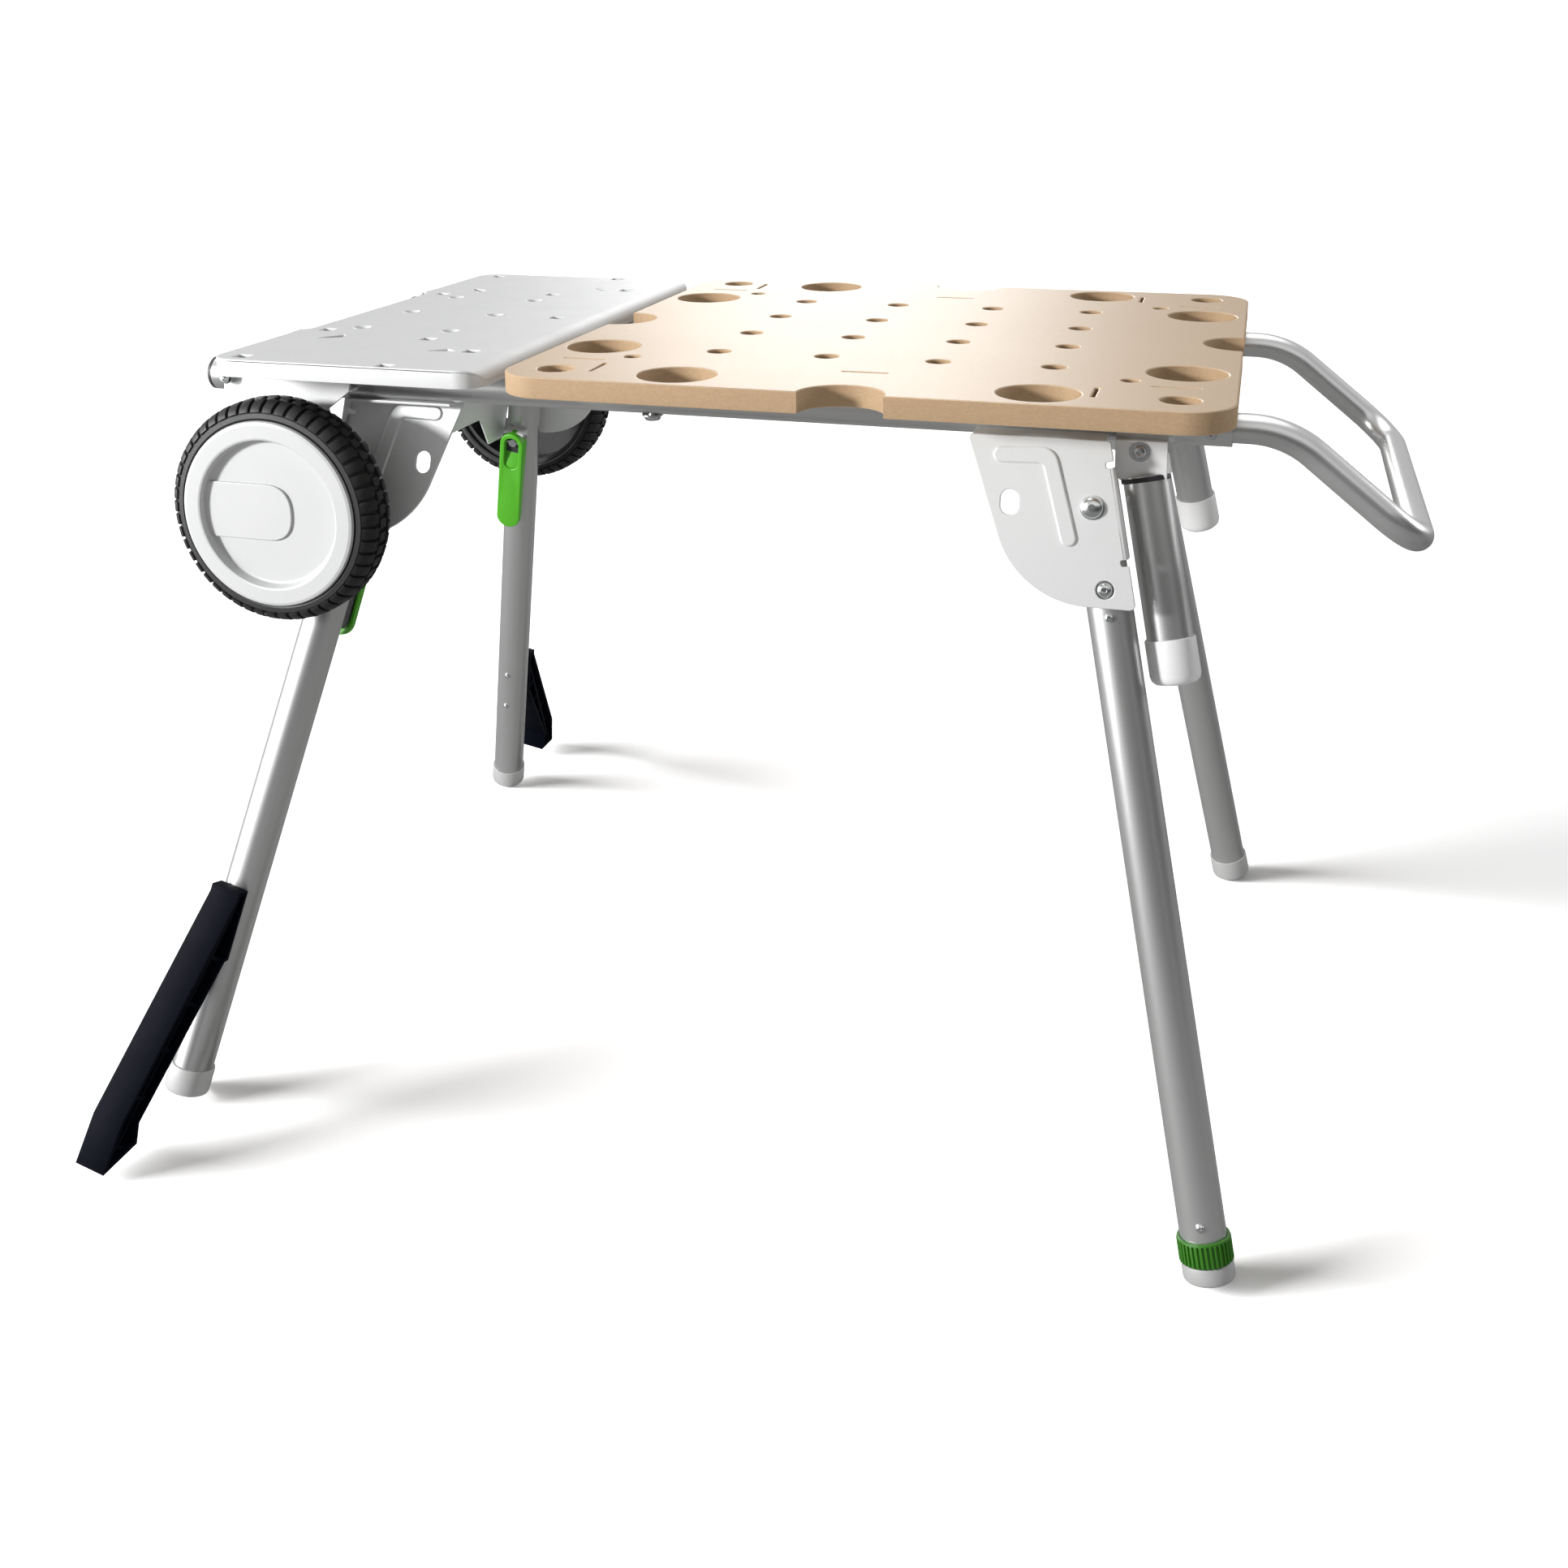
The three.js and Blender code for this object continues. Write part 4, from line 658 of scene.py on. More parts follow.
def bracket(pose, x, y, drop, fold, top_drop, rail_side, oval_turn):
    """One front bracket, its plate's outline given for a fold to the left and mirrored for the other."""
    lean = abs(pose["lean"])
    top = (drop - top_drop) / math.cos(pose["tilt"]) - plate_out * math.tan(pose["tilt"])

    def beside(across, along):
        """Point of the leg's own frame in the plate's plane."""
        c, s = math.cos(lean), math.sin(lean)
        return across * c - along * s, across * s + along * c

    def edge_at(height):
        """How far the plate reaches at a height, so that its edge follows the leaning leg."""
        along = (plate_out * math.sin(lean) - height) / math.cos(lean)
        return plate_out * math.cos(lean) + along * math.sin(lean)

    slope = 0.38
    shoulder = plate_radius * slope
    corner = [(-plate_arm, top), (-math.sqrt(plate_radius**2 - shoulder**2), -shoulder)]
    curve = arc(0, 0, plate_radius, 180 + math.degrees(math.asin(slope)), 270, 20)[1:]
    low_corner = (edge_at(-plate_radius), -plate_radius)
    outline = corner + curve + [low_corner]
    outline += [beside(plate_out, -48), beside(15, -48), beside(15, -43), beside(18.9, -43)]
    outline += [beside(18.9, 28), beside(15, 28), beside(15, 33), beside(plate_out, 33)]
    outline += [(edge_at(top), top)]
    radii = [4, 14] + [0] * len(curve) + [5, 1, 2.4, 2.4, 0, 0, 2.4, 2.4, 1, 3]
    outline = fillet(outline, radii)
    hole_x = -latch_reach * math.cos(oval_turn)
    hole_y = -latch_reach * math.sin(oval_turn)
    oval = pill(hole_x, hole_y - 3, hole_x, hole_y + 3, 14)
    window = circle(*beside(0, -latch_reach), 7.2, 40)
    face = sheet([outline, oval, window], plate_in, plate_out, 0.7)
    rib = sheet([ribbon([(-72, 37), (-35, 38), (-17, -25)], 13)], 19.5, 23.2, 1.5)
    bend = arc(18.8, 18.8, 2.5, 0, 90, 8) + [(17.4, plate_out), (17.4, plate_in), (plate_in, plate_in)]
    bend = [(plate_out, 4.3)] + bend + [(plate_in, 4.3)]
    flange = moved(sheet([bend], -28, 43, 0.4), Matrix.Rotation(lean, 4, "Z"), to_front)
    shell = joined(face, rib, flange)
    if fold > 0:
        shell.transform(Matrix.Scale(-1, 4, (1, 0, 0)))
        shell.flip_normals()
    shell.transform(pose["plane"])
    outer = y + plate_out * math.cos(pose["tilt"]) - top * math.sin(pose["tilt"])
    left = x + min(fold * plate_arm, -fold * edge_at(top)) + 4
    right = x + max(fold * plate_arm, -fold * edge_at(top)) - 4
    cover = block(left, right, -outer + 1, -rail_side, -top_drop - 2.5, -top_drop, 0.5)
    return joined(shell, moved(cover, at()))


right_bracket = bracket(
    right_pose, *right_pivot, fold=-1, top_drop=40, rail_side=200.6, oval_turn=0.0,
)
left_bracket = bracket(left_pose, *left_pivot, fold=1, top_drop=48.3, rail_side=197, oval_turn=0.105)
pair("bracket_right", right_bracket, plate_paint, "stand_frame", "plate", "bracket_right")
pair("bracket_left", left_bracket, plate_paint, "stand_frame", "plate", "bracket_left")
bright_pattern = noise_pattern("plated_pattern", (1.0, 1.0, 1.0), (60.0, 900.0), (0.5, 0.5))
bright_metal = surface(
    "bright_metal", bright_pattern, (0.62, 0.63, 0.64), (0.80, 0.81, 0.82), 0.22, 1.0, 0.08,
)
bolt_profile = [
    (0, -23.5), (6.5, -23.4), (7.7, -22.6), (7.7, -18.5), (5, -18.4), (5, 21.5), (9.4, 21.5), (9.4, 22.3),
    (8.5, 22.5), (8.2, 23.6), (7.2, 25), (5.4, 26), (3, 26.5), (0, 26.6),
]
for side, pose in (("right", right_pose), ("left", left_pose)):
    bolt = moved(turned(bolt_profile, 48), pose["plane"])
    pair(f"pivot_bolt_{side}", bolt, bright_metal, "stand_frame", "bright", f"pivot_bolt_{side}")

# Left cross plate: one pressed sheet across both left legs, its lower edge cut away in the middle.
piece(
    "cross_plate", node_copy("cross_plate_left", 0.0006),
    plate_paint, "stand_frame", "plate", "cross_plate_left",
)

# Legs: four round tubes, 36 mm across, hung on the pivot bolts and splayed both ways, with a
# spring latch pin near each top. Grey caps are pushed over three of their lower ends.
leg_radius = 18


def leg_tube(length, pose):
    """Hollow tube along the leg's axis, its top end rounded about the pivot."""
    body = turned([(16, -length), (leg_radius, -length), (leg_radius, 0), (16, 0)], 64)
    body.transform(to_y)
    for vert in body.vertices:
        if vert.co.y > -1:
            vert.co.y = math.sqrt(max(leg_radius**2 - vert.co.x**2, 0.0))
    return moved(body, pose["leg"])


reach = right_pose["length"]
piece(
    "leg_right_front", leg_tube(reach - 17.1, right_pose), tube_paint, "leg_right_front", "tube",
    "leg_tube_right_front",
)
piece(
    "leg_right_back", mirror(leg_tube(reach - 4, right_pose)), tube_paint, "leg_right_back", "tube",
    "leg_tube_right_back",
)
pair(
    "leg_left", leg_tube(left_pose["length"] - 4, left_pose), tube_paint, "leg_left", "tube",
    "leg_tube_left",
)
cap_grey = surface("cap_grey", moulded_pattern, (0.42, 0.425, 0.42), (0.50, 0.505, 0.50), 0.5, bump=0.2)


def foot_cap(pose, height, soft=1.0):
    """Cup over the tube's lower end, turned about the leg's axis and measured up from its sole."""
    profile = [
        (0, 0), (20 - 3 * soft, 0), (20 - 1.4 * soft, 0.4 * soft), (20 - 0.4 * soft, 1.4 * soft),
        (20, 3 * soft), (20, height - 1.6), (19.6, height - 0.5), (18.8, height), (18.3, height - 0.4),
        (18.3, 3.8), (0, 3.8),
    ]
    shell = turned([(r, pose["length"] - h) for r, h in profile], 64)
    return moved(shell, pose["leg"], to_front)


piece(
    "foot_right_back", mirror(foot_cap(right_pose, 24)), cap_grey, "leg_right_back", "cap",
    "foot_cap_right_back",
)
pair("foot_left", foot_cap(left_pose, 24), cap_grey, "leg_left", "cap", "foot_cap_left")


def latch_pin(pose, inner):
    """Domed pin across the leg, its head in the bracket's window."""
    profile = [
        (0, 22.4), (1.6, 22.4), (2.2, 24.2), (3.4, 24.1), (4.9, 23.2), (5.9, 21.4), (6, 19), (6, 6.5),
        (4.5, 6.5), (4.5, inner), (0, inner),
    ]
    return moved(turned(profile, 40), pose["leg"], Matrix.Translation((0, -latch_reach, 0)))


pair("latch_right", latch_pin(right_pose, -9), bright_metal, "latch_right", "bright", "latch_pin_right")
cross_pin = moved(turned([(0, -13), (1.7, -13), (2, -12.6), (2, 12.6), (1.7, 13), (0, 13)], 24), to_x)
left_latch = joined(
    latch_pin(left_pose, -32.5),
    moved(cross_pin.copy(), left_pose["leg"], Matrix.Translation((0, -latch_reach, -29))),
)
pair("latch_left", left_latch, bright_metal, "latch_left", "bright", "latch_pin_left", "latch_cross_pin")

# Dome screws through the legs: one below each right bracket, one above the front right foot, and
# two on each left leg's inner side that hold its fin.


def dome(pose, along, side, radius=3.4):
    """Round screw head with a socket, on a leg's outer or inner face."""
    height = radius * 0.62
    top, socket = leg_radius + height, leg_radius + height * 0.35
    profile = [
        (0, 17.2), (radius, 17.2), (radius, 18.2), (radius * 0.86, leg_radius + height * 0.7),
        (radius * 0.55, top), (radius * 0.36, top), (radius * 0.3, socket), (0, socket),
    ]
    turn = Matrix.Rotation(0 if side > 0 else math.pi, 4, "X")
    return moved(turned(profile, 32), pose["leg"], Matrix.Translation((0, -along, 0)), turn)


pair("leg_screw_right", dome(right_pose, 86, 1), bright_metal, "leg_right", "bright")
fin_screws = joined(dome(left_pose, 416, -1), dome(left_pose, 466, -1))
pair("fin_screws", fin_screws, bright_metal, "leg_left", "bright")
piece("foot_screw", dome(right_pose, 553.5, 1), bright_metal, "leg_right_front", "bright")

# Levelling foot at the front right: a light pad on a stem, and a green knurled ring that turns
# round the leg's end to screw it out.
ring_tree = bpy.data.node_groups.new("copies_around_an_axis", "GeometryNodeTree")
for label, kind in (("Copy", "Object"), ("Count", "Int"), ("Radius", "Float"), ("Finish", "Material")):
    ring_tree.interface.new_socket(label, in_out="INPUT", socket_type="NodeSocket" + kind)
ring_tree.interface.new_socket("Geometry", in_out="OUTPUT", socket_type="NodeSocketGeometry")
ring_in = ring_tree.nodes.new("NodeGroupInput")
ring_out = ring_tree.nodes.new("NodeGroupOutput")
ring_source = make(ring_tree, "GeometryNodeObjectInfo", Object=ring_in.outputs["Copy"])
ring_circle = make(
    ring_tree, "GeometryNodeMeshCircle", Vertices=ring_in.outputs["Count"],
    Radius=ring_in.outputs["Radius"],
)
ring_index = make(ring_tree, "GeometryNodeInputIndex")
ring_step = make(
    ring_tree, "ShaderNodeMath", {"operation": "DIVIDE"}, i0=2 * math.pi, i1=ring_in.outputs["Count"],
)
ring_angle = make(
    ring_tree, "ShaderNodeMath", {"operation": "MULTIPLY"}, i0=ring_index.outputs[0],
    i1=ring_step.outputs[0],
)
ring_turn = make(ring_tree, "ShaderNodeCombineXYZ", Z=ring_angle.outputs[0])
ring_copies = make(
    ring_tree, "GeometryNodeInstanceOnPoints",
    Points=ring_circle.outputs[0], Instance=ring_source.outputs["Geometry"], Rotation=ring_turn.outputs[0],
)
ring_real = make(ring_tree, "GeometryNodeRealizeInstances", Geometry=ring_copies.outputs[0])
ring_set = make(
    ring_tree, "GeometryNodeSetMaterial", Geometry=ring_real.outputs[0],
    Material=ring_in.outputs["Finish"],
)
ring_tree.links.new(ring_set.outputs[0], ring_out.inputs[0])


def around(tooth, count, radius, material):
    """Copies of a mesh round the Z axis, at a radius, as one plain mesh."""
    source = placed("tooth", tooth)
    holder = placed("ring", bpy.data.meshes.new("ring"))
    modifier = holder.modifiers.new("copies", "NODES")
    modifier.node_group = ring_tree
    values = {"Copy": source, "Count": count, "Radius": float(radius), "Finish": material}
    for item in ring_tree.interface.items_tree:
        if item.in_out == "INPUT":
            modifier[item.identifier] = values[item.name]
    mesh = evaluated(holder)
    bpy.data.objects.remove(source)
    return mesh


green_plastic = surface(
    "green_plastic", moulded_pattern, (0.055, 0.33, 0.006), (0.085, 0.42, 0.012), 0.4, bump=0.15,
)
# The ring is the lever's green plastic, painted darker as painted shade for the light falling off near the
# floor.
ring_green = surface(
    "ring_green", moulded_pattern, (0.024, 0.15, 0.003), (0.038, 0.20, 0.006), 0.42, bump=0.15,
)
ring_low, ring_high = reach - 14.3, reach - 33.3
ring_profile = [
    (10.5, ring_low), (18.6, ring_low), (19.4, ring_low - 0.8), (19.4, ring_high + 2.2),
    (20.7, ring_high + 1.6), (20.4, ring_high + 0.4), (18.6, ring_high), (18.4, ring_high + 0.6),
    (18.4, ring_low - 2.5), (10.5, ring_low - 2.5),
]
tooth_outline = fillet([(-1.5, -1.15), (1.3, -0.8), (1.3, 0.8), (-1.5, 1.15)], 0.4)
tooth = sheet([tooth_outline], ring_high + 1.6, ring_low - 0.6, 0.3)
ring_mesh = joined(turned(ring_profile, 72), around(tooth, 34, 19.6, ring_green))
piece(
    "level_ring", moved(ring_mesh, right_pose["leg"], to_front), ring_green, "levelling_ring", "green",
    "level_ring",
)
pad_grey = surface("pad_grey", moulded_pattern, (0.36, 0.365, 0.36), (0.44, 0.445, 0.44), 0.5, bump=0.2)
pad_profile = [
    (0, 0), (17, 0), (18.8, 0.5), (19.7, 1.6), (20, 3), (20, 12.8), (19.4, 13.8), (18.4, 14), (10, 14),
    (10, 16), (9.4, 17), (9.4, 62), (8.6, 64), (0, 64),
]
pad_mesh = turned([(r, reach - h) for r, h in pad_profile], 64)
piece(
    "level_pad", moved(pad_mesh, right_pose["leg"], to_front), pad_grey, "levelling_pad", "cap",
    "level_pad",
)

# Latch levers: bright green channels hinged on small grey blocks on the left legs' inner sides.
# Lifting one draws the latch pin out through its cross pin.
lever_length, lever_start = 124, 51
inner_side = Matrix.Translation((0, 0, -leg_radius)) @ Matrix.Scale(-1, 4, (0, 0, 1))


def on_inner_side(mesh):
    """Sets a shape that is drawn outward onto the leg's inner side, from the lever's upper end down."""
    mesh.transform(inner_side @ Matrix.Translation((0, -lever_start, 0)))
    mesh.flip_normals()
    return mesh


def lever():
    """Pill-shaped cover whose upper half dips to a sloping floor, seen from the leg's inner side."""
    outer = pill(0, -13.5, 0, 13.5 - lever_length, 27, 20)
    inner = pill(0, -14.5, 0, 14.5 - lever_length, 21.6, 20)
    opening = pill(0, -13.6, 0, -38, 16, 16)
    face = sheet([outer, opening], 14.4, 17, 1.1)
    lip = sheet([outer, inner], 5, 15.6, 0.8)
    well = sheet([pill(0, -13.6, 0, -38, 18.4, 16), pill(0, -13.6, 0, -38, 15.8, 16)], 5, 15, 0.4)
    ramp = sheet([pill(0, -13.6, 0, -40, 17.6, 16)], 0, 1.6, 0.4)
    for vert in ramp.vertices:
        vert.co.z += 4.6 + 9.4 * min(max((-vert.co.y - 8) / 36, 0), 1)
    shell = joined(face, lip, well, ramp)
    for vert in shell.vertices:
        share = min(max(-vert.co.y / lever_length, 0), 1)
        skirt = (15 - vert.co.z) / 10
        if skirt > 0.3 and vert.co.y < -60:
            vert.co.z += 6 * share * min(skirt, 1)
        vert.co.z += 3 * max(share - 0.4, 0) ** 1.3 / 0.6**1.3
    shell.shade_smooth()
    return on_inner_side(shell)


pair("lever", moved(lever(), left_pose["leg"]), green_plastic, "lever", "green", "latch_lever")
# A black sheet inside the lever's hollow, as painted shade for the dark inside of the channel.
shade_sheet = on_inner_side(sheet([pill(0, -16, 0, 16 - lever_length, 21)], 9, 11, 0.4))
pair("lever_liner", moved(shade_sheet, left_pose["leg"]), black_plastic, "lever", "black")
mount = node_copy("lever_mount_front", 0.0006)
pair("lever_block", mount, plate_paint, "leg_left", "plate", "lever_mount")
hinge_pin = moved(cross_pin, left_pose["leg"], Matrix.Translation((0, -55.5, -26)))
pair("lever_pin", hinge_pin, bright_metal, "leg_left", "bright", "lever_hinge_pin")

# Side fins: black moulded guards low on the left legs, a rim with a web and crossing ribs.
navy_plastic = surface(
    "navy_plastic", moulded_pattern, (0.0012, 0.0018, 0.0045), (0.0028, 0.0036, 0.008), 0.6, bump=0.2,
    shine=0.03,
)
pair("fin", node_copy("side_fin_front", 0.0007), navy_plastic, "leg_left", "black", "side_fin")

# Wheels: black tyres with chunky lugs on light dished hubs, on one axle through two gussets that
# hang from the rails.
rubber_pattern = noise_pattern("rubber_pattern", (1.0, 1.0, 1.0), (30.0, 700.0), (0.5, 0.5))
rubber = surface(
    "tyre_rubber", rubber_pattern, (0.010, 0.010, 0.011), (0.024, 0.024, 0.025), 0.5, bump=0.4, shine=0.35,
)
axle_x, axle_z = -512, -136
tyre_middle = -257
lug_count, lug_radius = 50, 96
wheel_hub = at(axle_x, 0, axle_z)
tyre_profile = [
    (83.4, -277), (85, -278), (89, -277.6), (93, -274), (95.6, -269), (96.8, -263), (96.8, -251),
    (95.6, -245), (93, -240), (89, -236.4), (85, -236), (83.4, -237),
]
side_lug = [
    (-8, -273), (-5.4, -278.4), (-2.2, -276.8), (0.9, -273), (2.8, -268.4), (3.4, -264.6), (-1, -264),
]
far_lug = [(r, 2 * tyre_middle - axial) for r, axial in reversed(side_lug)]
middle_lug = [(-1, -261.6), (3.3, -261.2), (3.5, -257), (3.3, -252.8), (-1, -252.4)]
tread = [
    around(moved(sheet([loop], -4.5, 4.5, 0.8), to_front), lug_count, lug_radius, rubber)
    for loop in (side_lug, far_lug)
]
centre_lug = moved(sheet([middle_lug], -4.2, 4.2, 0.8), to_front)
centre_tread = around(centre_lug, lug_count, lug_radius, rubber)
tread.append(moved(centre_tread, Matrix.Rotation(math.pi / lug_count, 4, "Z")))
tyre_mesh = joined(turned(tyre_profile, 112), *tread)
pair("tyre", moved(tyre_mesh, wheel_hub, to_y), rubber, "wheel", "rubber", "tyre")
hub_grey = surface("hub_grey", moulded_pattern, (0.48, 0.49, 0.485), (0.53, 0.535, 0.53), 0.45, bump=0.08)
hub_profile = [
    (0, -272), (62.4, -272), (64.2, -272.7), (65.2, -274.6), (65.8, -279), (66.5, -280.5), (68, -281),
    (79.6, -281), (81.9, -280.2), (83, -278), (83, -241), (78, -241), (78, -266), (15, -266),
    (15, -216.8), (6.4, -216.8), (6.4, -268), (0, -268),
]
hub_body = turned(hub_profile, 112)
for face in hub_body.polygons:
    if face.center.z > -270:
        face.material_index = 1
tab = fillet([(-66.5, -25), (20, -25), (20, 25), (-66.5, 25)], [0, 24, 24, 0], 10)
tab_mesh = moved(sheet([tab], 271, 274.2, 0.7), to_front)
hub_mesh = joined(moved(hub_body, to_y), tab_mesh)
pair("hub", moved(hub_mesh, wheel_hub), [hub_grey, rubber], "wheel", "hub", "hub")
axle_profile = [(0, -267.6), (5.2, -267.6), (6, -266.8), (6, 266.8), (5.2, 267.6), (0, 267.6)]
piece(
    "axle", moved(turned(axle_profile, 40), wheel_hub, to_y), bright_metal, "stand_frame", "bright",
    "wheel_axle",
)
gusset_top = rail_z - 3
gusset_outline = [(-589, -19.5), (-589, -44), (-593, -46), (-593, -66)]
gusset_outline += arc(axle_x, axle_z, 24, 180, 360, 28) + [(-484, -54), (-463, -38), (-460, -19.5)]
gusset_plate = moved(sheet([gusset_outline, circle(axle_x, axle_z, 6.3)], 213.5, 216, 0.6), to_front)
gusset_lip = block(-589, -462, -215, -202.4, gusset_top - 2.5, gusset_top)
pair(
    "gusset", moved(joined(gusset_plate, gusset_lip), at()),
    plate_paint, "stand_frame", "plate", "wheel_gusset",
)


def front_screw(name, profile, x, z):
    """Small screw whose head faces the front, with its mirror image at the back."""
    screw = moved(turned(profile, 40), at(x, 0, z), to_front)
    pair(name, screw, bright_metal, "stand_frame", "bright")


gusset_bolt = [
    (0, 221.4), (2.4, 221.4), (2.8, 224.6), (4.6, 224.4), (5.8, 223), (6, 216), (4, 216), (4, 202.6),
    (0, 202.6),
]
front_screw("gusset_bolt", gusset_bolt, -582, -29.5)

# Stub feet: short tubes with white caps on which the folded stand rests, held in folded holders
# under the rails.
stub_x, stub_y, stub_top, stub_sole = 218, 187, 48, 237
stub_tan = math.tan(abs(right_pose["lean"])) / math.cos(right_pose["tilt"])
stub_fall = stub_sole - stub_top
stub_pose = leg_pose(
    stub_x, stub_y, stub_top, stub_x + stub_fall * stub_tan,
    stub_y + stub_fall * math.tan(right_pose["tilt"]), stub_sole,
)
stub_low = stub_pose["length"] - 4
stub_tube = turned([(16, 27), (18, 27), (18, stub_low), (16, stub_low)], 64)
pair("stub", moved(stub_tube, stub_pose["leg"], to_front), tube_paint, "stand_frame", "tube", "stub_tube")
white_plastic = surface(
    "white_plastic", moulded_pattern, (0.72, 0.725, 0.72), (0.80, 0.80, 0.80), 0.45, bump=0.1,
)
pair("stub_foot", foot_cap(stub_pose, 36, 2.4), white_plastic, "stand_frame", "cap", "stub_cap")
white_paint = surface("white_paint", plate_pattern, (0.72, 0.725, 0.73), (0.80, 0.80, 0.80), 0.4, 0.1, 0.1)
holder_outline = [(200, -43.5), (200.5, -75)] + arc(220.5, -57, 22, 232, 308, 12)
holder_outline += [(240.5, -75), (240, -43.5)]
holder_face = moved(sheet([fillet(holder_outline, 1.2)], 202.3, 204.9, 0.5), to_front)
holder_lip = block(200, 240, -204, -190, -46.4, -43.6)
holder_collar = moved(
    turned([(18.3, 12), (20.6, 12), (20.6, 27.5), (18.3, 27.5)], 64), stub_pose["leg"], to_front,
)
for vert in holder_collar.vertices:
    vert.co.y = max(vert.co.y, (at() @ Vector((0, -203.6, 0))).y)
holder_mesh = joined(moved(joined(holder_face, holder_lip), at()), holder_collar)
pair("stub_holder", holder_mesh, white_paint, "stand_frame", "bright", "stub_holder")
stub_ring = moved(
    turned([(18.1, 27.8), (19.2, 27.8), (19.4, 28.4), (19.4, 31), (18.9, 31.6), (18.1, 31.6)], 64),
    stub_pose["leg"], to_front,
)
pair("stub_ring", stub_ring, black_plastic, "stand_frame", "black")
holder_screw = [
    (0, 207), (1.8, 207), (2.3, 209), (4, 208.6), (5.2, 207.2), (5.4, 205.8), (8, 205.8), (8, 205),
    (0, 205),
]
front_screw("holder_screw", holder_screw, 219, -52)
rail_screw = [(0, 204), (1.4, 204), (1.8, 206.4), (3.4, 205.8), (4.6, 204), (4.8, 200.6), (0, 200.6)]
front_screw("rail_screw", rail_screw, 272, -35)

# Board bolts: washer-headed screws up through the rails into the board.
board_bolt = [
    (0, -9), (4, -9), (4, -48.3), (9, -48.3), (9, -49.6), (7, -49.8), (7, -52), (6, -53.6), (3.4, -54),
    (3, -52.5), (0, -52.5),
]
for side, x in (("right", 209), ("left", -190)):
    pair(
        f"board_bolt_{side}", moved(turned(board_bolt, 40), at(x, -rail_y, 0)),
        bright_metal, "stand_frame", "bright", f"board_bolt_{side}",
    )

# Studio: a pale floor that keeps the shadows, a white surround, a soft key from the front left,
# and dark cards that only reflections see.
floor_mesh = bpy.data.meshes.new("floor")
floor_mesh.from_pydata([(-30, -30, 0), (30, -30, 0), (30, 40, 0), (-30, 40, 0)], [], [(0, 1, 2, 3)])
floor = placed("floor", floor_mesh)
floor_paint = bpy.data.materials.new("floor_paint")
floor_paint.use_nodes = True
floor_tree = floor_paint.node_tree
floor_tree.nodes.remove(floor_tree.nodes["Principled BSDF"])
floor_light = make(floor_tree, "ShaderNodeLightPath")
floor_place = make(floor_tree, "ShaderNodeTexCoord")
floor_marks = make(
    floor_tree, "ShaderNodeGroup", {"node_tree": moulded_pattern},
    Vector=floor_place.outputs["Object"], Scale=0.2,
)
floor_seen, floor_reflected, floor_bounced = (1.85, 1.85, 1.85, 1), (0.32, 0.32, 0.32, 1), (0.7, 0.7, 0.7, 1)
floor_unseen = colour_mix(
    floor_tree, floor_light.outputs["Is Glossy Ray"], floor_bounced, floor_reflected,
)
floor_colour = colour_mix(floor_tree, floor_light.outputs["Is Camera Ray"], floor_unseen, floor_seen)
floor_tone = make(floor_tree, "ShaderNodeMapRange", i0=floor_marks.outputs["Tone"], i3=0.985, i4=1.0)
floor_tint = make(floor_tree, "ShaderNodeVectorMath", {"operation": "SCALE"}, i0=floor_colour)
floor_tree.links.new(floor_tone.outputs[0], floor_tint.inputs["Scale"])
floor_shader = make(floor_tree, "ShaderNodeBsdfDiffuse", Color=floor_tint.outputs[0])
floor_tree.links.new(floor_shader.outputs[0], floor_tree.nodes["Material Output"].inputs["Surface"])
floor_mesh.materials.append(floor_paint)


def aimed(spot, aim, axis):
    """Matrix of an object at a spot with the given axis turned towards the aim."""
    return Matrix.Translation(spot) @ (aim - spot).to_track_quat(axis, "Y").to_matrix().to_4x4()


card_paint = bpy.data.materials.new("card_paint")
card_paint.use_nodes = True
card_paint.node_tree.nodes["Principled BSDF"].inputs["Base Color"].default_value = (0.03, 0.03, 0.03, 1)
for label, spot, size in (("front", (0.9, -2.9, 0.6), (1.9, 1.0)), ("right", (3.0, -0.6, 0.6), (1.7, 1.1))):
    card_mesh = bpy.data.meshes.new("card_" + label)
    w, h = size
    card_mesh.from_pydata([(-w, -h, 0), (w, -h, 0), (w, h, 0), (-w, h, 0)], [], [(0, 1, 2, 3)])
    card_mesh.materials.append(card_paint)
    card = placed("card_" + label, card_mesh)
    card.matrix_world = aimed(Vector(spot), Vector((0, 0, 0.5)), "Z")
    card.visible_camera = False
    card.visible_shadow = False
    card.visible_diffuse = False

world = bpy.data.worlds.new("surround")
bpy.context.scene.world = world
world.use_nodes = True
sky = world.node_tree
sky.nodes.clear()
sky_path = make(sky, "ShaderNodeLightPath")
sky_seen = make(sky, "ShaderNodeMapRange", i0=sky_path.outputs["Is Camera Ray"], i3=0.16, i4=1.02)
sky_mirrored = make(sky, "ShaderNodeMapRange", i0=sky_path.outputs["Is Glossy Ray"], i3=0.0, i4=0.42)
sky_strength = make(
    sky, "ShaderNodeMath", {"operation": "ADD"}, i0=sky_seen.outputs[0], i1=sky_mirrored.outputs[0],
)
sky_shader = make(sky, "ShaderNodeBackground", Strength=sky_strength.outputs[0])
sky_shader.inputs["Color"].default_value = (1, 1, 1, 1)
make(sky, "ShaderNodeOutputWorld", Surface=sky_shader.outputs[0])

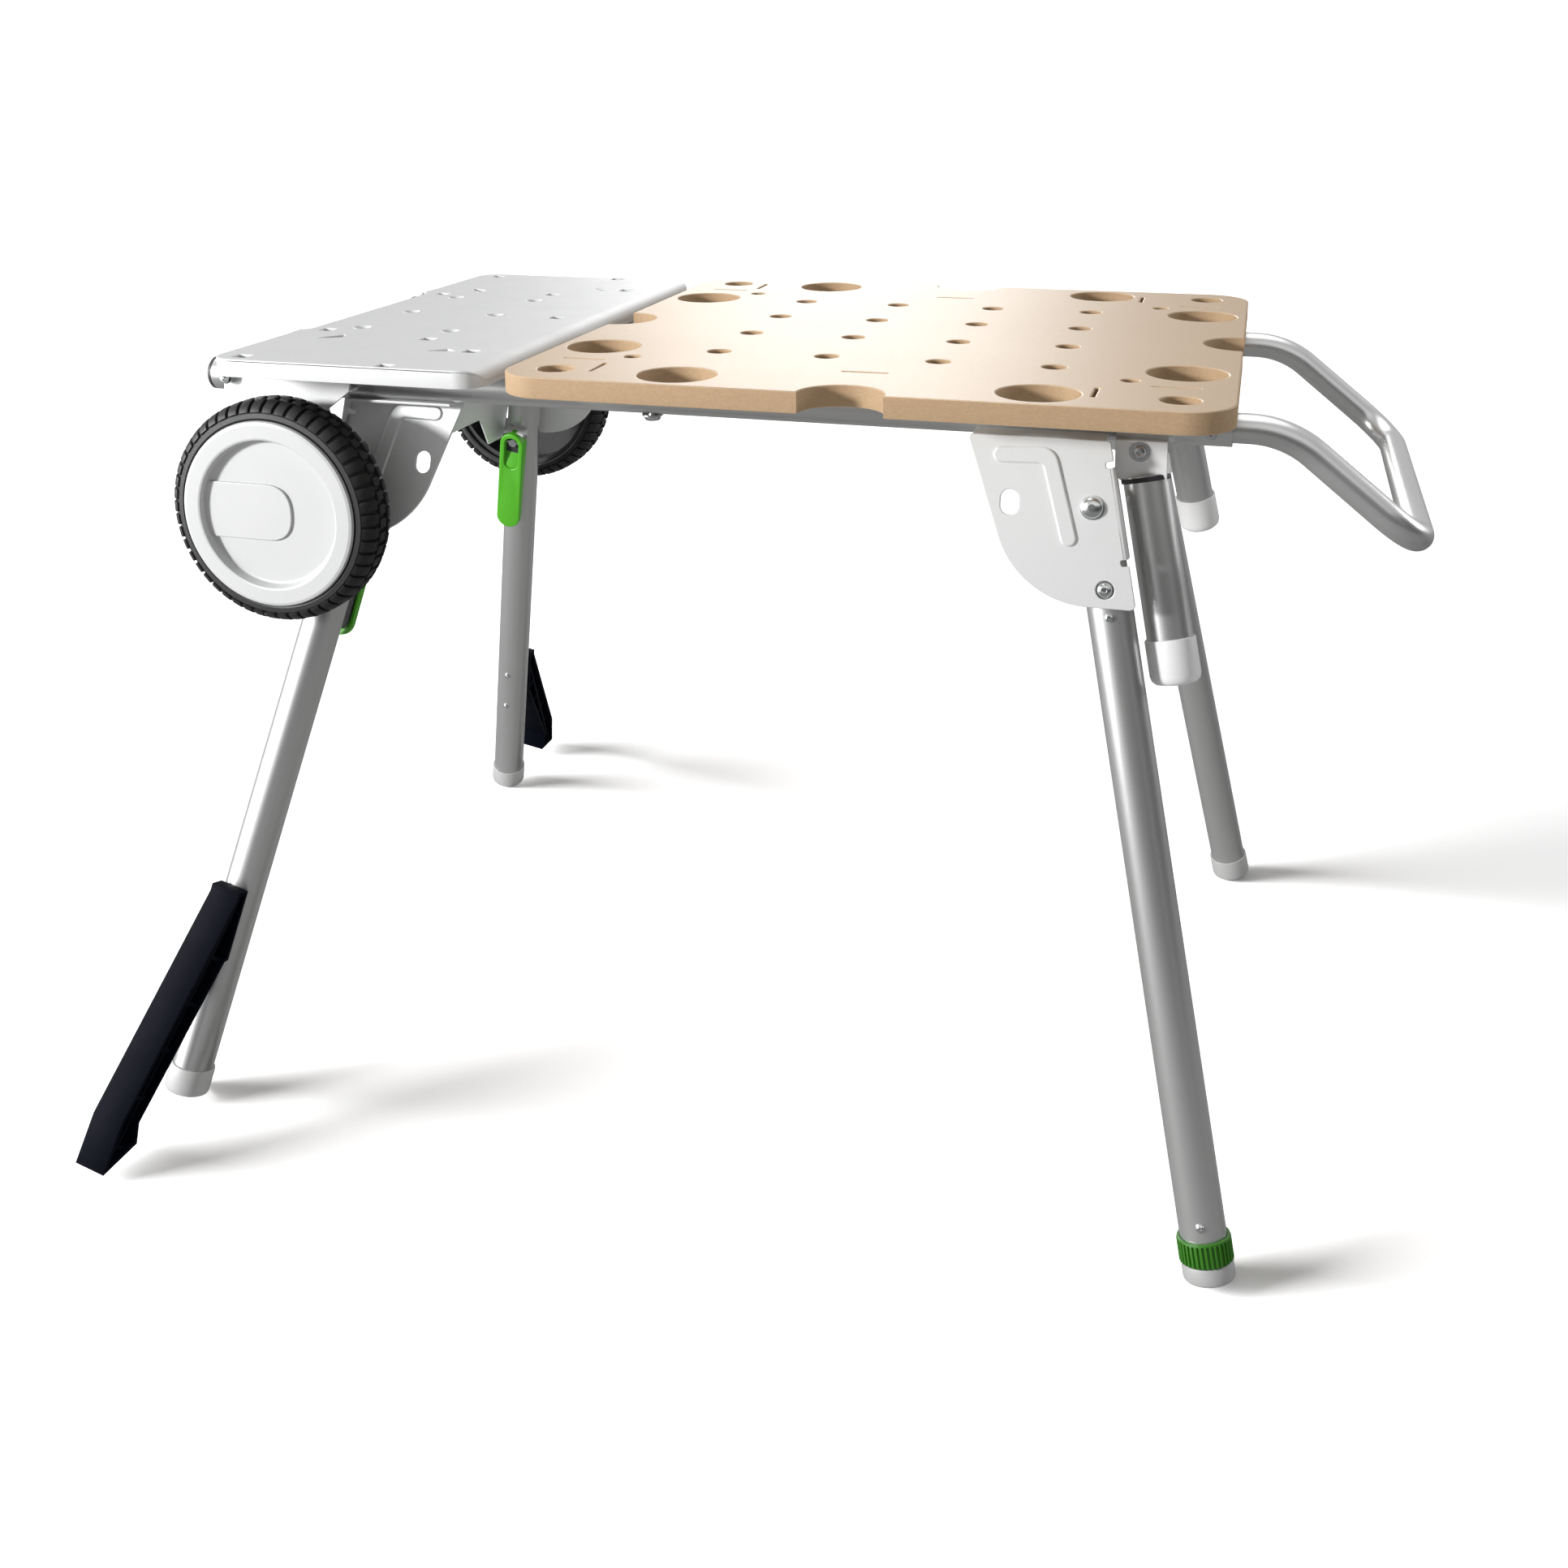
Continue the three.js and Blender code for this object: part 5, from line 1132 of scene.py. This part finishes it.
floor_only = bpy.data.collections.new("floor_only")
floor_only.objects.link(floor)
not_floor = bpy.data.collections.new("not_floor")
not_floor.objects.link(floor)
not_floor.collection_objects[0].light_linking.link_state = "EXCLUDE"


def add_lamp(light, power, spot, aim, receivers):
    """Puts a lamp at a spot, aimed, and lights only the receivers."""
    light.energy = power
    lamp = placed(light.name, light)
    lamp.matrix_world = aimed(Vector(spot), Vector(aim), "-Z")
    lamp.light_linking.receiver_collection = receivers
    return lamp


for label, spot, spread, power, receivers in (
    ("floor_key", (-3.4, -1.3, 0.85), 34, 8.5, floor_only),
    ("fill", (0.9, -3.0, 1.0), 70, 0.35, not_floor),
    ("top", (-0.3, 0.8, 3.0), 60, 1.2, not_floor),
    ("rim", (2.6, 1.6, 0.9), 20, 0.8, not_floor),
):
    sun = bpy.data.lights.new(label, "SUN")
    sun.angle = math.radians(spread)
    add_lamp(sun, power, spot, (0, 0, 0), receivers)
for label, spot, aim, width, power in (
    ("key", (-2.55, -2.35, 1.4), (0, 0, 0.4), 0.5, 158),
    ("glow", (-0.9, 3.6, 1.75), (0, 0, 0.68), 1.5, 50),
    ("side", (-2.8, -1.6, 0.7), (0, 0, 0.4), 2.2, 120),
):
    panel = bpy.data.lights.new(label, "AREA")
    panel.shape = "DISK"
    panel.size = width
    lamp = add_lamp(panel, power, spot, aim, not_floor)
    lamp.visible_diffuse = label == "key"

# Camera: the one that was fitted to the worktop's grid of holes and to the circle of the wheel's
# hub, given by its right, up and back directions.
camera_data = bpy.data.cameras.new("camera")
camera_data.lens = 38.42
camera_data.sensor_width = 36
camera_data.shift_y = -0.237
camera_data.dof.use_dof = False
camera = placed("camera", camera_data)
right = Vector((0.96136, 0.27524, -0.00598))
up = Vector((-0.05434, 0.211, 0.97598))
back = Vector((0.26988, -0.93794, 0.2178))
camera_turn = Matrix((right, up, back)).transposed().to_4x4()
camera.matrix_world = Matrix.Translation((0.39375, -1.49361, 0.93782)) @ camera_turn
bpy.context.scene.camera = camera
bpy.context.scene.view_settings.view_transform = "Standard"
